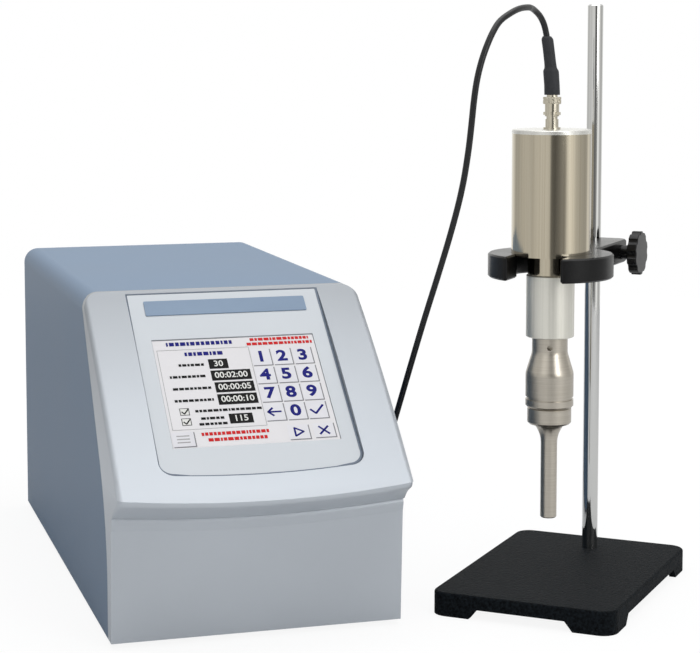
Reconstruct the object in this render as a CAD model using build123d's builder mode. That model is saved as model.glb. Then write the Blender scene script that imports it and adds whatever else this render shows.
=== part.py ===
from build123d import *
import os
from math import cos, radians, sin, tan

# Probe sonicator: a bench-top ultrasonic generator, and beside it a support stand
# whose C-shaped clamp carries the converter, the horn and the probe.
# Millimetres, +Z up, the generator's front faces -Y. The origin lies on the
# table, under the middle of the box round the generator and the stand.

# Generator case
case_width = 208.0
case_depth = 440.0
case_height = 228.0
foot_height = 4.0
foot_radius = 10.0
foot_inset = 26.0
sheet = 1.5
cover_corner = 12.0
slip = 0.2
tray_flange = 14.0
panel_sheet = 2.0
panel_inset = 1.5

# Front bezel: a sloped face that ends in a drooping lip over a lower face
slope_angle = 40.4
slope_length = 195.5
face_crown = 4.0
top_strip = 6.0
seam_back = 118.0
seam_foot = 13.0
seam_lean = 35.5
seam_bend = 150.0
lip_droop = 5.0
cove_height = 12.5
cove_depth = 9.0
lower_lean = 5.0
bezel_wall = 3.0
bezel_edge = 4.0
reveal = 0.5

# Display plate on the sloped face; distances run down the slope
plate_width = 143.0
plate_start = 4.0
plate_end = 169.0
plate_sag = 4.0
plate_corner = 10.0
plate_sheet = 2.0
groove = 1.2
screen_width = 120.0
screen_start = 48.0
screen_end = 147.0
strip_width = 121.0
strip_start = 11.0
strip_end = 25.0
strip_sheet = 0.6
glass_gap = 0.3
glass_drop = 0.6
glass_sheet = 2.2
lcd_border = 6.0
lcd_sheet = 8.0
board_sheet = 1.6
control_gap = 12.0

# Power electronics inside the case
board_lift = 12.0
board_width = 150.0
board_length = 230.0
board_start = 170.0
standoff_radius = 3.0
capacitor_radius = 17.5
capacitor_height = 50.0
bank_right = 38.0
bank_back = 215.0
bank_pitch = 37.0
core_right = 36.0
core_back = 330.0
core_width = 52.0
core_depth = 34.0
core_height = 50.0
core_leg = 16.0
coil_wall = 9.0
sink_right = -40.0
sink_back = 260.0
sink_width = 62.0
sink_length = 120.0
sink_height = 60.0
sink_base = 6.0
fin_count = 8
fin_sheet = 1.8
transistor_count = 4

# Rear panel fittings, measured from the middle of the panel
fan_size = 80.0
fan_depth = 25.0
fan_bore = 37.5
fan_right = -42.0
fan_up = 150.0
fan_pitch = 71.5
hub_radius = 17.0
strut_sheet = 3.0
motor_radius = 14.0
rotor_start = 3.0
rotor_length = 17.0
shaft_radius = 1.5
shaft_gap = 0.05
blade_count = 7
blade_gap = 1.6
blade_root = (5.0, -8.0)
blade_nose = (18.0, 8.0)
blade_upper = (9.0, 1.5)
blade_lower = (10.2, 0.0)
guard_sheet = 1.6
guard_rings = 4
guard_pitch = 8.0
guard_hub = 6.0
inlet_right = 58.0
inlet_up = 182.0
inlet_width = 48.0
inlet_height = 40.0
inlet_depth = 26.0
inlet_flange = 2.5
socket_width = 24.0
socket_height = 16.5
socket_depth = 18.0
drawer_width = 20.0
drawer_height = 7.0
drawer_depth = 20.0
drawer_gap = 0.3
drawer_rise = 11.5
socket_drop = 6.0
pin_pitch = 14.0
pin_length = 13.0
rocker_right = 58.0
rocker_up = 132.0
rocker_width = 14.0
rocker_height = 24.0
rocker_wall = 3.0
rocker_depth = 14.0
rocker_tilt = 8.0
rocker_reach = 11.0
pivot_depth = 3.0
pivot_radius = 1.5
pivot_stub = 1.5
remote_right = 58.0
remote_up = 92.0
remote_radius = 9.0
output_right = 58.0
output_up = 50.0

# High-voltage bayonet connectors, one on the converter and one on the panel
jack_flange_radius = 6.3
jack_flange = 1.5
barrel_radius = 4.8
barrel_length = 5.9
jack_neck_radius = 4.1
jack_neck_length = 3.0
lug_reach = 6.25
lug_length = 2.1
lug_width = 2.4
skirt_radius = 5.2
skirt_length = 5.8
collar_radius = 6.4
collar_length = 5.2
plug_radius = 4.0
plug_neck = 1.4
collar_gap = 0.06
nose_radius = 2.6
nose_length = 6.0
bayonet_turn = 60.0
lug_play = 0.4
track_slack = 20.0
track_inner = 3.3
track_outer = 6.6
boot_radius = 5.7
boot_length = 17.5
boot_slim_radius = 4.3
boot_slim_length = 23.3
boot_tip = 1.4
boot_grip = 5.0
cable_diameter = 4.5

# Support stand; the probe's axis is its reference, the rod stands behind it
probe_right = 224.9
probe_back = 19.6
stand_turn = 40.75
base_width = 138.0
base_length = 202.0
base_top = 17.3
base_corner = 12.0
base_skin = 6.0
base_wall = 5.0
base_edge = 2.0
arch_height = 7.3
arch_slant = 6.0
base_foot_length = 32.0
base_foot_width = 30.0
rod_to_back = 34.0
rod_offset = 105.0
rod_radius = 6.0
rod_top = 443.0
rod_seat = 3.0
rod_boss = 14.0

# C-shaped clamp with its arm and thumbscrew
clamp_top = 261.0
clamp_thick = 17.5
ring_radius = 45.7
ring_bore = 27.0
ring_gap = 39.5
arm_half_width = 22.8
arm_past_rod = 21.5
arm_corner = 9.0
seat_depth = 1.5
seat_gap = 0.15
rod_gap = 0.06
clamp_edge = 1.2
stud_radius = 4.0
stud_gap = 0.1
stud_play = 0.06
feed_gap = 0.3
knob_hub_radius = 5.5
knob_hub = 8.5
knob_radius = 16.8
knob_thick = 7.6
knob_lobes = 10
knob_scallop = 4.2
knob_lobe_out = 2.8
knob_phase = 18.0
knob_edge = 0.8
knob_cap = 3.0

# Converter, from the housing's foot upward
housing_radius = 28.8
housing_top = 351.0
housing_wall = 1.6
housing_floor = 3.0
collar_neck_radius = 16.6
collar_neck_bore = 13.2
neck_bottom = 245.0
cap_thick = 3.0
cap_edge = 0.8
spigot_radius = 9.0
spigot_length = 12.0
bolt_depth = 12.0
driver_stem = 12.8
driver_flange_radius = 24.0
driver_flange = 7.0
driver_head_radius = 19.0
driver_head = 16.0
piezo_radius = 19.0
piezo_hole = 6.5
piezo_thick = 5.0
piezo_count = 4
electrode_thick = 0.5
back_mass_length = 22.0
bolt_radius = 5.0
bolt_head_radius = 8.5
bolt_head = 7.0
ring_cord_radius = 1.6

# Horn, from the sleeve down to the tip
sleeve_radius = 17.6
sleeve_bottom = 199.5
horn_neck_radius = 13.0
flare_start = 188.0
flare_end = 173.0
flare_round = 12.0
band_radius = 17.55
groove_top = 155.6
groove_depth = 1.2
groove_height = 2.2
horn_bottom = 147.5
horn_chamfer = 1.4
pin_hole_radius = 1.9
pin_hole_up = 192.5
probe_base_radius = 16.1
probe_base_bottom = 135.0
probe_blend = 15.0
shank_radius = 6.0
tip_joint = 73.0
tip_end = 65.0
tip_bevel = 0.8
joint_stud_radius = 4.8
joint_stud_length = 24.0
tip_bore = 3.5
tip_stud_length = 8.0
pin_direction = (-0.385, -0.923, 0)

# Cable route: hand-chosen points right of the case's middle, behind its face, up
cable_radius = cable_diameter / 2
arch_route = [
    (224.9, 19.6, 413.1), (224.9, 19.6, 423.7), (220.4, 16.7, 432.9), (212.6, 11.6, 438.3), (202.9, 5.3, 438.3),
    (198.7, 1.0, 438.3)]
drop_route = [
    (198.7, 1.0, 438.3), (194.6, -3.2, 438.3), (186.5, -10.0, 437.1), (178.3, -16.1, 434.1),
    (170.9, -21.2, 428.8), (164.7, -25.4, 421.3), (159.3, -28.2, 412.0), (154.7, -29.6, 401.3),
    (151.2, -29.7, 389.0), (149.1, -28.5, 374.7), (148.0, -25.4, 357.0), (146.8, -20.0, 336.1),
    (144.9, -11.3, 311.2), (141.9, 0.9, 282.4), (137.8, 16.7, 249.8), (133.1, 35.9, 213.1),
    (129.4, 57.0, 174.6), (126.4, 79.1, 136.5), (124.2, 101.2, 101.5), (122.4, 122.3, 72.0),
    (121.1, 142.4, 48.2), (120.1, 161.3, 30.0), (119.2, 178.7, 17.3), (118.6, 196.0, 8.3),
    (118.0, 215.0, 3.2), (117.4, 238.0, 2.4), (116.6, 276.0, 2.3), (117.4, 328.0, 2.35),
    (116.8, 378.0, 2.3), (117.6, 420.0, 2.35), (114.5, 447.0, 2.3), (101.0, 465.0, 2.35),
    (76.0, 471.0, 2.3), (44.0, 470.0, 2.4), (14.0, 470.3, 3.0)]
coil_center = (10.0, 505.0)
coil_mid_radius = 28.0
coil_band = 9.0
coil_height = 14.0
coil_corner = 3.5
rise_route = [
    (-4.5, 537.0, 5.0), (6.0, 541.2, 4.0), (19.0, 544.5, 6.5), (31.0, 546.0, 13.0), (42.0, 544.0, 22.5),
    (51.0, 538.0, 34.0), (56.5, 527.5, 44.0), (58.0, 514.5, 50.0), (58.0, 500.6, 50.0)]
tie_width = 8.0
tie_sheet = 0.8

# Derived places
case_half = case_width / 2
case_bottom = foot_height
case_top = foot_height + case_height
turn = radians(stand_turn)
slope = radians(slope_angle)
clamp_bottom = clamp_top - clamp_thick
clamp_middle = (clamp_top + clamp_bottom) / 2
seat_z = clamp_top - seat_depth
base_back = rod_offset + rod_to_back
base_front = base_back - base_length
base_half = base_width / 2
panel_face = case_depth - panel_inset
panel_inner = panel_face - panel_sheet
jack_length = jack_flange + barrel_length + jack_neck_length + lug_length
case_edge_right = probe_right + (base_back - base_corner) * sin(turn) + (base_half - base_corner) * cos(turn)
case_edge_right += base_corner
table_front = probe_back + (base_front + base_corner) * cos(turn) - (base_half - base_corner) * sin(turn)
table_front -= base_corner
table_back = panel_face + jack_length
case_x = -(case_edge_right - case_half) / 2
case_y = -(table_front + table_back) / 2
probe_x = case_x + probe_right
probe_y = case_y + probe_back

# Work planes
case = Plane((case_x, case_y, 0))
case_side = Plane((case_x, case_y, 0), x_dir=(0, 1, 0), z_dir=(1, 0, 0))
case_front = Plane((case_x, case_y, 0), x_dir=(1, 0, 0), z_dir=(0, -1, 0))
rear_face = Plane((case_x, case_y + panel_face, 0), x_dir=(1, 0, 0), z_dir=(0, -1, 0))
face_top_back = seam_back - top_strip
face = Plane((case_x, case_y + face_top_back, case_top), x_dir=(1, 0, 0), z_dir=(0, -sin(slope), cos(slope)))
stand = Plane((probe_x, probe_y, 0), x_dir=(cos(turn), -sin(turn), 0), z_dir=(0, 0, 1))
stand_front = Plane((probe_x, probe_y, 0), x_dir=(cos(turn), -sin(turn), 0), z_dir=(-sin(turn), -cos(turn), 0))
stand_side = Plane((probe_x, probe_y, 0), x_dir=(sin(turn), cos(turn), 0), z_dir=(cos(turn), -sin(turn), 0))
screw_plane = Plane(
    (probe_x + rod_offset * sin(turn), probe_y + rod_offset * cos(turn), clamp_middle),
    x_dir=(0, 0, 1), z_dir=(cos(turn), -sin(turn), 0))
probe_section = Plane((probe_x, probe_y, 0), x_dir=(cos(turn), -sin(turn), 0), z_dir=(-sin(turn), -cos(turn), 0))
probe_axis = Axis((probe_x, probe_y, 0), (0, 0, 1))
os.makedirs("parts", exist_ok=True)


def on_knob_face(edge):
    """True for the knob's rim edges, not its hub's."""
    along = (edge.center() - screw_plane.origin).dot(screw_plane.z_dir)
    reach = (edge.center() - screw_plane.origin - screw_plane.z_dir * along).length
    return reach > knob_hub_radius and along > arm_half_width + knob_hub


def keep(builder, label):
    """Name a finished piece and write it to its own file."""
    builder.part.label = label
    export_step(builder.part, f"parts/{label}.step")


def turned(points, plane=probe_section, axis=probe_axis, mode=Mode.ADD):
    """Turn a closed outline of (radius, height) points about an axis."""
    with BuildSketch(plane) as outline:
        with BuildLine():
            Polyline(*points, close=True)
        make_face()
    revolve(outline.sketch, axis=axis, mode=mode)


def ring_points(inner, outer, low, high):
    """Outline of a plain ring's section."""
    return [(inner, low), (outer, low), (outer, high), (inner, high)]


def down_slope(distance):
    """Height and depth of a point on the sloped face's straight line."""
    return (face_top_back - distance * cos(slope), case_top - distance * sin(slope))


lip_point = down_slope(slope_length)
lip_ends_up = lip_point[1] + lip_droop
crown_mid = down_slope(slope_length / 2)
crown_point = (crown_mid[0] - face_crown * sin(slope), crown_mid[1] + face_crown * cos(slope))
cove_bottom = lip_ends_up - cove_height
seam_rise = case_top - (seam_back - seam_foot) / tan(radians(seam_lean))


def seam_edge():
    """Side view of the slanted seam between the bezel and the cover, top to bottom."""
    FilletPolyline((seam_back, case_top), (seam_foot, seam_rise), (seam_foot, case_bottom), radius=seam_bend)


def lip_arc(rise):
    """Front view of the drooping lip, shifted down by rise, closed above or below later."""
    return ThreePointArc((-case_half, lip_ends_up - rise), (0, lip_point[1] - rise), (case_half, lip_ends_up - rise))


def plate_outline(extra):
    """Display plate's outline on the face, grown by extra all round."""
    half = plate_width / 2 + extra
    top = extra - plate_start
    foot = -plate_end - extra
    with BuildSketch() as outline:
        with BuildLine():
            Polyline((-half, foot), (-half, top), (half, top), (half, foot))
            ThreePointArc((half, foot), (0, foot - plate_sag), (-half, foot))
        make_face()
        fillet(outline.vertices().sort_by(Axis.Y)[:2], plate_corner + extra)
    return outline.sketch


# Front bezel: outline drawn from the side, then cove, recess and window
inner_depth = plate_sheet + 2.5
with BuildPart() as front_bezel:
    with BuildSketch(case_side) as bezel_outline:
        with BuildLine():
            ThreePointArc((face_top_back, case_top), crown_point, lip_point)
            Polyline(lip_point, (-lower_lean, cove_bottom + 1), (0, case_bottom), (seam_foot, case_bottom))
            seam_edge()
            Line((seam_back, case_top), (face_top_back, case_top))
        make_face()
    extrude(amount=case_half, both=True)
    face_edges = front_bezel.edges().filter_by(GeomType.CIRCLE).sort_by(SortBy.LENGTH)[-2:]
    fillet(face_edges, bezel_edge)
    with BuildSketch(case_front.offset(-seam_back - 1)):
        with BuildLine():
            FilletPolyline((-case_half, case_bottom), (-case_half, case_top), (case_half, case_top),
                           (case_half, case_bottom), radius=cover_corner)
            Line((case_half, case_bottom), (-case_half, case_bottom))
        make_face()
    extrude(amount=2 * seam_back, mode=Mode.INTERSECT)
    with BuildSketch(case_front.offset(-cove_depth + lower_lean)):
        with BuildLine():
            lip_arc(0)
            Line((case_half, lip_ends_up), (case_half, cove_bottom))
            lip_arc(cove_height)
            Line((-case_half, cove_bottom), (-case_half, lip_ends_up))
        make_face()
    extrude(amount=case_half, mode=Mode.SUBTRACT)
    with BuildSketch(case_side):
        with BuildLine():
            inner_lip = lip_ends_up + bezel_wall
            slope_run = (case_top - bezel_wall - inner_lip) / tan(slope)
            inner_top_back = face_top_back + (inner_depth - bezel_wall * cos(slope)) / sin(slope)
            cove_back = cove_depth - lower_lean + bezel_wall
            Polyline(
                (inner_top_back, case_top - bezel_wall), (inner_top_back - slope_run, inner_lip),
                (cove_back, inner_lip), (cove_back, cove_bottom - lip_droop - bezel_wall),
                (bezel_wall, cove_bottom - lip_droop - bezel_wall), (bezel_wall, case_bottom + bezel_wall),
                (seam_back + 20, case_bottom + bezel_wall), (seam_back + 20, case_top - bezel_wall),
                close=True)
        make_face()
    extrude(amount=case_half - bezel_wall, both=True, mode=Mode.SUBTRACT)
    with BuildSketch(face.offset(-plate_sheet)):
        add(plate_outline(groove))
    extrude(amount=plate_sheet + face_crown + 1, mode=Mode.SUBTRACT)
    with BuildSketch(face.offset(face_crown)):
        with Locations((0, -(screen_start + screen_end) / 2)):
            Rectangle(screen_width + groove, screen_end - screen_start + groove)
    extrude(amount=-(face_crown + inner_depth + bezel_wall), mode=Mode.SUBTRACT)
keep(front_bezel, "front_bezel")

screen_middle = -(screen_start + screen_end) / 2
screen_height = screen_end - screen_start

# Display plate with its screen window
with BuildPart() as display_plate:
    with BuildSketch(face.offset(-plate_sheet)):
        add(plate_outline(0))
        with Locations((0, screen_middle)):
            Rectangle(screen_width, screen_height, mode=Mode.SUBTRACT)
    extrude(amount=plate_sheet)
keep(display_plate, "display_plate")

# Bare strip above the screen
with BuildPart() as header_strip:
    with BuildSketch(face):
        with Locations((0, -(strip_start + strip_end) / 2)):
            RectangleRounded(strip_width, strip_end - strip_start, 1)
    extrude(amount=strip_sheet)
keep(header_strip, "header_strip")

# Touch glass in the window, on the display module's front
glass_back = glass_drop + glass_sheet
with BuildPart() as touch_panel:
    with BuildSketch(face.offset(-glass_back)):
        with Locations((0, screen_middle)):
            Rectangle(screen_width - 2 * glass_gap, screen_height - 2 * glass_gap)
    extrude(amount=glass_sheet)
    chamfer(touch_panel.faces().sort_by(Axis.Z)[-1].edges(), 0.4)
keep(touch_panel, "touch_panel")

# Display module: its front pads out through the window, its frame lies behind the bezel
lcd_front = inner_depth
with BuildPart() as lcd_module:
    with BuildSketch(face.offset(-lcd_front - lcd_sheet)):
        with Locations((0, screen_middle)):
            Rectangle(screen_width + 2 * lcd_border, screen_height + 2 * lcd_border)
    extrude(amount=lcd_sheet)
    with BuildSketch(face.offset(-lcd_front)):
        with Locations((0, screen_middle)):
            Rectangle(screen_width - 2 * glass_gap, screen_height - 2 * glass_gap)
    extrude(amount=lcd_front - glass_back)
keep(lcd_module, "lcd_module")

# Control board parallel to the face, on four spacers from the display module
control_face = -lcd_front - lcd_sheet - control_gap
spacer_right = screen_width / 2
spacer_up = screen_height / 2
with BuildPart() as control_board:
    with BuildSketch(face.offset(control_face)):
        with Locations((0, screen_middle)):
            Rectangle(screen_width + 2 * lcd_border, screen_height + 2 * lcd_border)
    extrude(amount=-board_sheet)
    with BuildSketch(face.offset(control_face)):
        with Locations((0, screen_middle)):
            with GridLocations(2 * spacer_right, 2 * spacer_up, 2, 2):
                Circle(standoff_radius)
    extrude(amount=control_gap)
    with BuildSketch(face.offset(control_face - board_sheet)):
        with Locations((0, screen_middle)):
            with GridLocations(40, 30, 3, 3):
                Rectangle(16, 12)
    extrude(amount=-2.5)
keep(control_board, "control_board")

# Chassis tray: floor with turned-up sides inside the cover
tray_half = case_half - sheet - slip
tray_top = case_bottom + sheet
with BuildPart() as chassis_tray:
    with BuildSketch(case_front.offset(-panel_inner)):
        with BuildLine():
            Polyline(
                (-tray_half, case_bottom + tray_flange), (-tray_half, case_bottom), (tray_half, case_bottom),
                (tray_half, case_bottom + tray_flange), (tray_half - sheet, case_bottom + tray_flange),
                (tray_half - sheet, tray_top), (sheet - tray_half, tray_top),
                (sheet - tray_half, case_bottom + tray_flange), close=True)
        make_face()
    extrude(amount=panel_inner - seam_foot)
keep(chassis_tray, "chassis_tray")

# Rear panel with its cut-outs, standing behind the tray inside the cover
with BuildPart() as rear_panel:
    with BuildSketch(rear_face):
        with Locations((0, case_bottom + (case_height - sheet - slip) / 2)):
            RectangleRounded(2 * tray_half, case_height - sheet - slip, cover_corner - sheet)
        with Locations((fan_right, fan_up)):
            Circle(fan_bore, mode=Mode.SUBTRACT)
        with Locations((inlet_right, inlet_up)):
            Rectangle(inlet_width, inlet_height, mode=Mode.SUBTRACT)
        with Locations((rocker_right, rocker_up)):
            Rectangle(rocker_width + 2 * rocker_wall, rocker_height + 2 * rocker_wall, mode=Mode.SUBTRACT)
        with Locations((remote_right, remote_up)):
            Circle(remote_radius, mode=Mode.SUBTRACT)
        with Locations((output_right, output_up)):
            Circle(barrel_radius, mode=Mode.SUBTRACT)
    extrude(amount=panel_sheet)
keep(rear_panel, "rear_panel")

# Wrap cover: one bent sheet with rounded top corners and a slanted front edge
with BuildPart() as wrap_cover:
    with BuildSketch(case_front.offset(-case_depth)):
        with BuildLine():
            FilletPolyline(
                (-case_half, case_bottom), (-case_half, case_top), (case_half, case_top),
                (case_half, case_bottom), radius=cover_corner)
            Line((case_half, case_bottom), (case_half - sheet, case_bottom))
            FilletPolyline(
                (case_half - sheet, case_bottom), (case_half - sheet, case_top - sheet),
                (sheet - case_half, case_top - sheet), (sheet - case_half, case_bottom),
                radius=cover_corner - sheet)
            Line((sheet - case_half, case_bottom), (-case_half, case_bottom))
        make_face()
    extrude(amount=case_depth)
    with BuildSketch(case_side.offset(-case_width)):
        with BuildLine():
            seam_edge()
            Polyline((seam_foot, case_bottom), (seam_foot, 0), (-60, 0), (-60, case_top + 10),
                     (seam_back, case_top + 10), (seam_back, case_top))
        make_face()
        offset(amount=reveal)
    extrude(amount=2 * case_width, mode=Mode.SUBTRACT)
keep(wrap_cover, "wrap_cover")

# Rubber feet under the tray
with BuildPart() as rubber_feet:
    with BuildSketch(case.offset(foot_height)):
        with Locations((0, case_depth / 2)):
            with GridLocations(case_width - 2 * foot_inset, case_depth - 2.6 * foot_inset, 2, 2):
                Circle(foot_radius)
    extrude(amount=-foot_height, taper=12)
keep(rubber_feet, "rubber_feet")

# Power board on standoffs over the tray
board_bottom = tray_top + board_lift
board_top = board_bottom + board_sheet
board_middle = board_start + board_length / 2
with BuildPart() as power_board:
    with BuildSketch(case.offset(board_bottom)):
        with Locations((0, board_middle)):
            Rectangle(board_width, board_length)
    extrude(amount=board_sheet)
keep(power_board, "power_board")

with BuildPart() as board_standoffs:
    with BuildSketch(case.offset(tray_top)):
        with Locations((0, board_middle)):
            with GridLocations(board_width - 12, (board_length - 12) / 2, 2, 3):
                RegularPolygon(standoff_radius, 6)
    extrude(amount=board_lift)
keep(board_standoffs, "board_standoffs")

# Bulk capacitors, with a rolled groove near the foot of each can
with BuildPart() as bulk_capacitors:
    with BuildSketch(case.offset(board_top)):
        with Locations((bank_right, bank_back)):
            with GridLocations(bank_pitch, bank_pitch, 2, 2):
                Circle(capacitor_radius)
    extrude(amount=capacitor_height)
    chamfer(bulk_capacitors.edges().group_by(Axis.Z)[-1], 1.2)
keep(bulk_capacitors, "bulk_capacitors")

# Transformer: ferrite core with two windows, and the winding round its middle leg
window_width = (core_width - core_leg * 2) / 2
window_height = core_height - core_leg
with BuildPart() as transformer_core:
    with BuildSketch(case_front.offset(-core_back - core_depth / 2)):
        with Locations((core_right, board_top + core_height / 2)):
            Rectangle(core_width, core_height)
            with GridLocations(core_leg + window_width, 0, 2, 1):
                Rectangle(window_width, window_height, mode=Mode.SUBTRACT)
    extrude(amount=core_depth)
keep(transformer_core, "transformer_core")

coil_gap = 0.2
with BuildPart() as transformer_coil:
    with BuildSketch(case.offset(board_top + core_leg / 2)):
        with Locations((core_right, core_back)):
            RectangleRounded(core_leg + 2 * coil_wall, core_depth + 2 * coil_wall, coil_wall / 2)
            Rectangle(core_leg + coil_gap, core_depth + coil_gap, mode=Mode.SUBTRACT)
    extrude(amount=window_height)
keep(transformer_coil, "transformer_coil")

# Heat sink: an upright plate with level fins along the fan's stream
sink_plate = sink_right + sink_width / 2
fin_pitch = (sink_height - fin_sheet) / (fin_count - 1)
with BuildPart() as heat_sink:
    with BuildSketch(case_front.offset(-sink_back + sink_length / 2)):
        with Locations((sink_plate - sink_base / 2, board_top + sink_height / 2)):
            Rectangle(sink_base, sink_height)
        with Locations((sink_right - sink_base / 2, board_top + sink_height / 2)):
            with GridLocations(0, fin_pitch, 1, fin_count):
                Rectangle(sink_width - sink_base, fin_sheet)
    extrude(amount=-sink_length)
keep(heat_sink, "heat_sink")

# Power transistors stand on the board against the heat sink's plate
with BuildPart() as power_transistors:
    with BuildSketch(case_side.offset(sink_plate)):
        with Locations((sink_back, board_top + 17)):
            with GridLocations(sink_length / transistor_count, 0, transistor_count, 1):
                Rectangle(16, 20)
                Circle(1.8, mode=Mode.SUBTRACT)
        with Locations((sink_back, board_top + 3.5)):
            with GridLocations(sink_length / transistor_count, 0, transistor_count, 1):
                with GridLocations(5.5, 0, 3, 1):
                    Rectangle(1.2, 7)
    extrude(amount=5)
keep(power_transistors, "power_transistors")

# Cooling fan behind the rear panel; distances run inward from the panel
fan_front = rear_face.offset(panel_sheet)
with BuildPart() as fan_frame:
    with BuildSketch(fan_front):
        with Locations((fan_right, fan_up)):
            RectangleRounded(fan_size, fan_size, 5)
            Circle(fan_bore, mode=Mode.SUBTRACT)
            with GridLocations(fan_pitch, fan_pitch, 2, 2):
                Circle(2.2, mode=Mode.SUBTRACT)
    extrude(amount=fan_depth)
    with BuildSketch(fan_front.offset(fan_depth - strut_sheet)):
        with Locations((fan_right, fan_up)):
            Circle(hub_radius)
            Rectangle(2 * fan_bore + 2, strut_sheet, rotation=45)
            Rectangle(2 * fan_bore + 2, strut_sheet, rotation=-45)
    extrude(amount=strut_sheet)
    with BuildSketch(fan_front.offset(rotor_start + 3)):
        with Locations((fan_right, fan_up)):
            Circle(motor_radius)
    extrude(amount=fan_depth - rotor_start - 3 - strut_sheet)
    with BuildSketch(fan_front):
        with Locations((fan_right, fan_up)):
            Circle(shaft_radius + shaft_gap)
    extrude(amount=fan_depth, mode=Mode.SUBTRACT)
keep(fan_frame, "fan_frame")

fan_place = Plane((case_x + fan_right, case_y + panel_inner, fan_up), x_dir=(1, 0, 0), z_dir=(0, -1, 0))
with BuildPart() as fan_rotor:
    with BuildSketch(fan_place.offset(rotor_start)):
        Circle(hub_radius)
    extrude(amount=rotor_length)
    with BuildSketch(fan_place.offset(rotor_start + 2)):
        Circle(hub_radius - 1.5)
    extrude(amount=rotor_length, mode=Mode.SUBTRACT)
    with BuildSketch(fan_place.offset(rotor_start)):
        Circle(shaft_radius)
    extrude(amount=fan_depth - rotor_start - strut_sheet)
    for blade in range(blade_count):
        angle = radians(360 / blade_count * blade)
        outward = (cos(angle), 0, sin(angle))
        blade_plane = Plane(fan_place.origin, x_dir=(0, -1, 0), z_dir=outward)
        with BuildSketch(blade_plane.offset(hub_radius - 1.2)):
            with BuildLine():
                ThreePointArc(blade_root, blade_upper, blade_nose)
                ThreePointArc(blade_root, blade_lower, blade_nose)
            make_face()
        extrude(amount=fan_bore - blade_gap - hub_radius)
keep(fan_rotor, "fan_rotor")

with BuildPart() as fan_guard:
    with BuildSketch(rear_face):
        with Locations((fan_right, fan_up)):
            for ring in range(guard_rings):
                Circle(fan_bore + 1.6 - ring * guard_pitch)
                Circle(fan_bore - ring * guard_pitch, mode=Mode.SUBTRACT)
            Circle(guard_hub)
            for bar in range(4):
                Rectangle(2 * fan_bore + 2, 1.8, rotation=45 * bar)
            with GridLocations(fan_pitch, fan_pitch, 2, 2):
                Circle(4.2)
    extrude(amount=-guard_sheet)
keep(fan_guard, "fan_guard")

# Mains inlet with its pins, and a fuse drawer that slides out over the socket
with BuildPart() as mains_inlet:
    with BuildSketch(rear_face):
        with Locations((inlet_right, inlet_up)):
            RectangleRounded(inlet_width + 5, inlet_height + 5, 3)
    extrude(amount=-inlet_flange)
    with BuildSketch(rear_face):
        with Locations((inlet_right, inlet_up)):
            Rectangle(inlet_width, inlet_height)
    extrude(amount=inlet_depth)
    with BuildSketch(rear_face.offset(-inlet_flange)) as socket_outline:
        with Locations((inlet_right, inlet_up - socket_drop)):
            Rectangle(socket_width, socket_height)
        chamfer(socket_outline.vertices().group_by(Axis.Y)[-1], 4)
    extrude(amount=socket_depth, mode=Mode.SUBTRACT)
    with BuildSketch(rear_face.offset(-inlet_flange)):
        with Locations((inlet_right, inlet_up + drawer_rise)):
            Rectangle(drawer_width, drawer_height)
    extrude(amount=drawer_depth + inlet_flange, mode=Mode.SUBTRACT)
    with BuildSketch(rear_face.offset(socket_depth - inlet_flange)):
        with Locations((inlet_right, inlet_up - socket_drop - 1)):
            with GridLocations(pin_pitch, 0, 2, 1):
                Rectangle(2, 4)
        with Locations((inlet_right, inlet_up - socket_drop + 3)):
            Rectangle(2, 4)
    extrude(amount=-pin_length)
keep(mains_inlet, "mains_inlet")

with BuildPart() as fuse_drawer:
    with BuildSketch(rear_face.offset(-inlet_flange)):
        with Locations((inlet_right, inlet_up + drawer_rise)):
            Rectangle(drawer_width - 2 * drawer_gap, drawer_height - 2 * drawer_gap)
    extrude(amount=drawer_depth)
    with BuildSketch(rear_face.offset(-inlet_flange)):
        with Locations((inlet_right, inlet_up + drawer_rise)):
            Rectangle(drawer_width + 3, drawer_height + 2.4)
    extrude(amount=-1.6)
    chamfer(fuse_drawer.faces().sort_by(Axis.Y)[-1].edges(), 0.6)
    with BuildSketch(rear_face):
        with Locations((inlet_right, inlet_up + drawer_rise + 1)):
            Rectangle(drawer_width - 4, drawer_height - 2)
    extrude(amount=drawer_depth - inlet_flange - 2, mode=Mode.SUBTRACT)
keep(fuse_drawer, "fuse_drawer")

# Power switch: a frame, and a rocker on two pivot stubs, resting on its off side
with BuildPart() as rocker_frame:
    with BuildSketch(rear_face):
        with Locations((rocker_right, rocker_up)):
            RectangleRounded(rocker_width + 2 * rocker_wall + 3, rocker_height + 2 * rocker_wall + 3, 2)
    extrude(amount=-1.5)
    with BuildSketch(rear_face):
        with Locations((rocker_right, rocker_up)):
            Rectangle(rocker_width + 2 * rocker_wall, rocker_height + 2 * rocker_wall)
    extrude(amount=rocker_depth + 2)
    with BuildSketch(rear_face.offset(-1.5)):
        with Locations((rocker_right, rocker_up)):
            Rectangle(rocker_width, rocker_height)
    extrude(amount=rocker_depth + 1.5, mode=Mode.SUBTRACT)
    with BuildSketch(case_side.offset(rocker_right - rocker_width / 2 - pivot_stub - 0.2)):
        with Locations((panel_face - pivot_depth, rocker_up)):
            Circle(pivot_radius + shaft_gap)
    extrude(amount=rocker_width + 2 * pivot_stub + 0.4, mode=Mode.SUBTRACT)
keep(rocker_frame, "rocker_frame")

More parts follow.
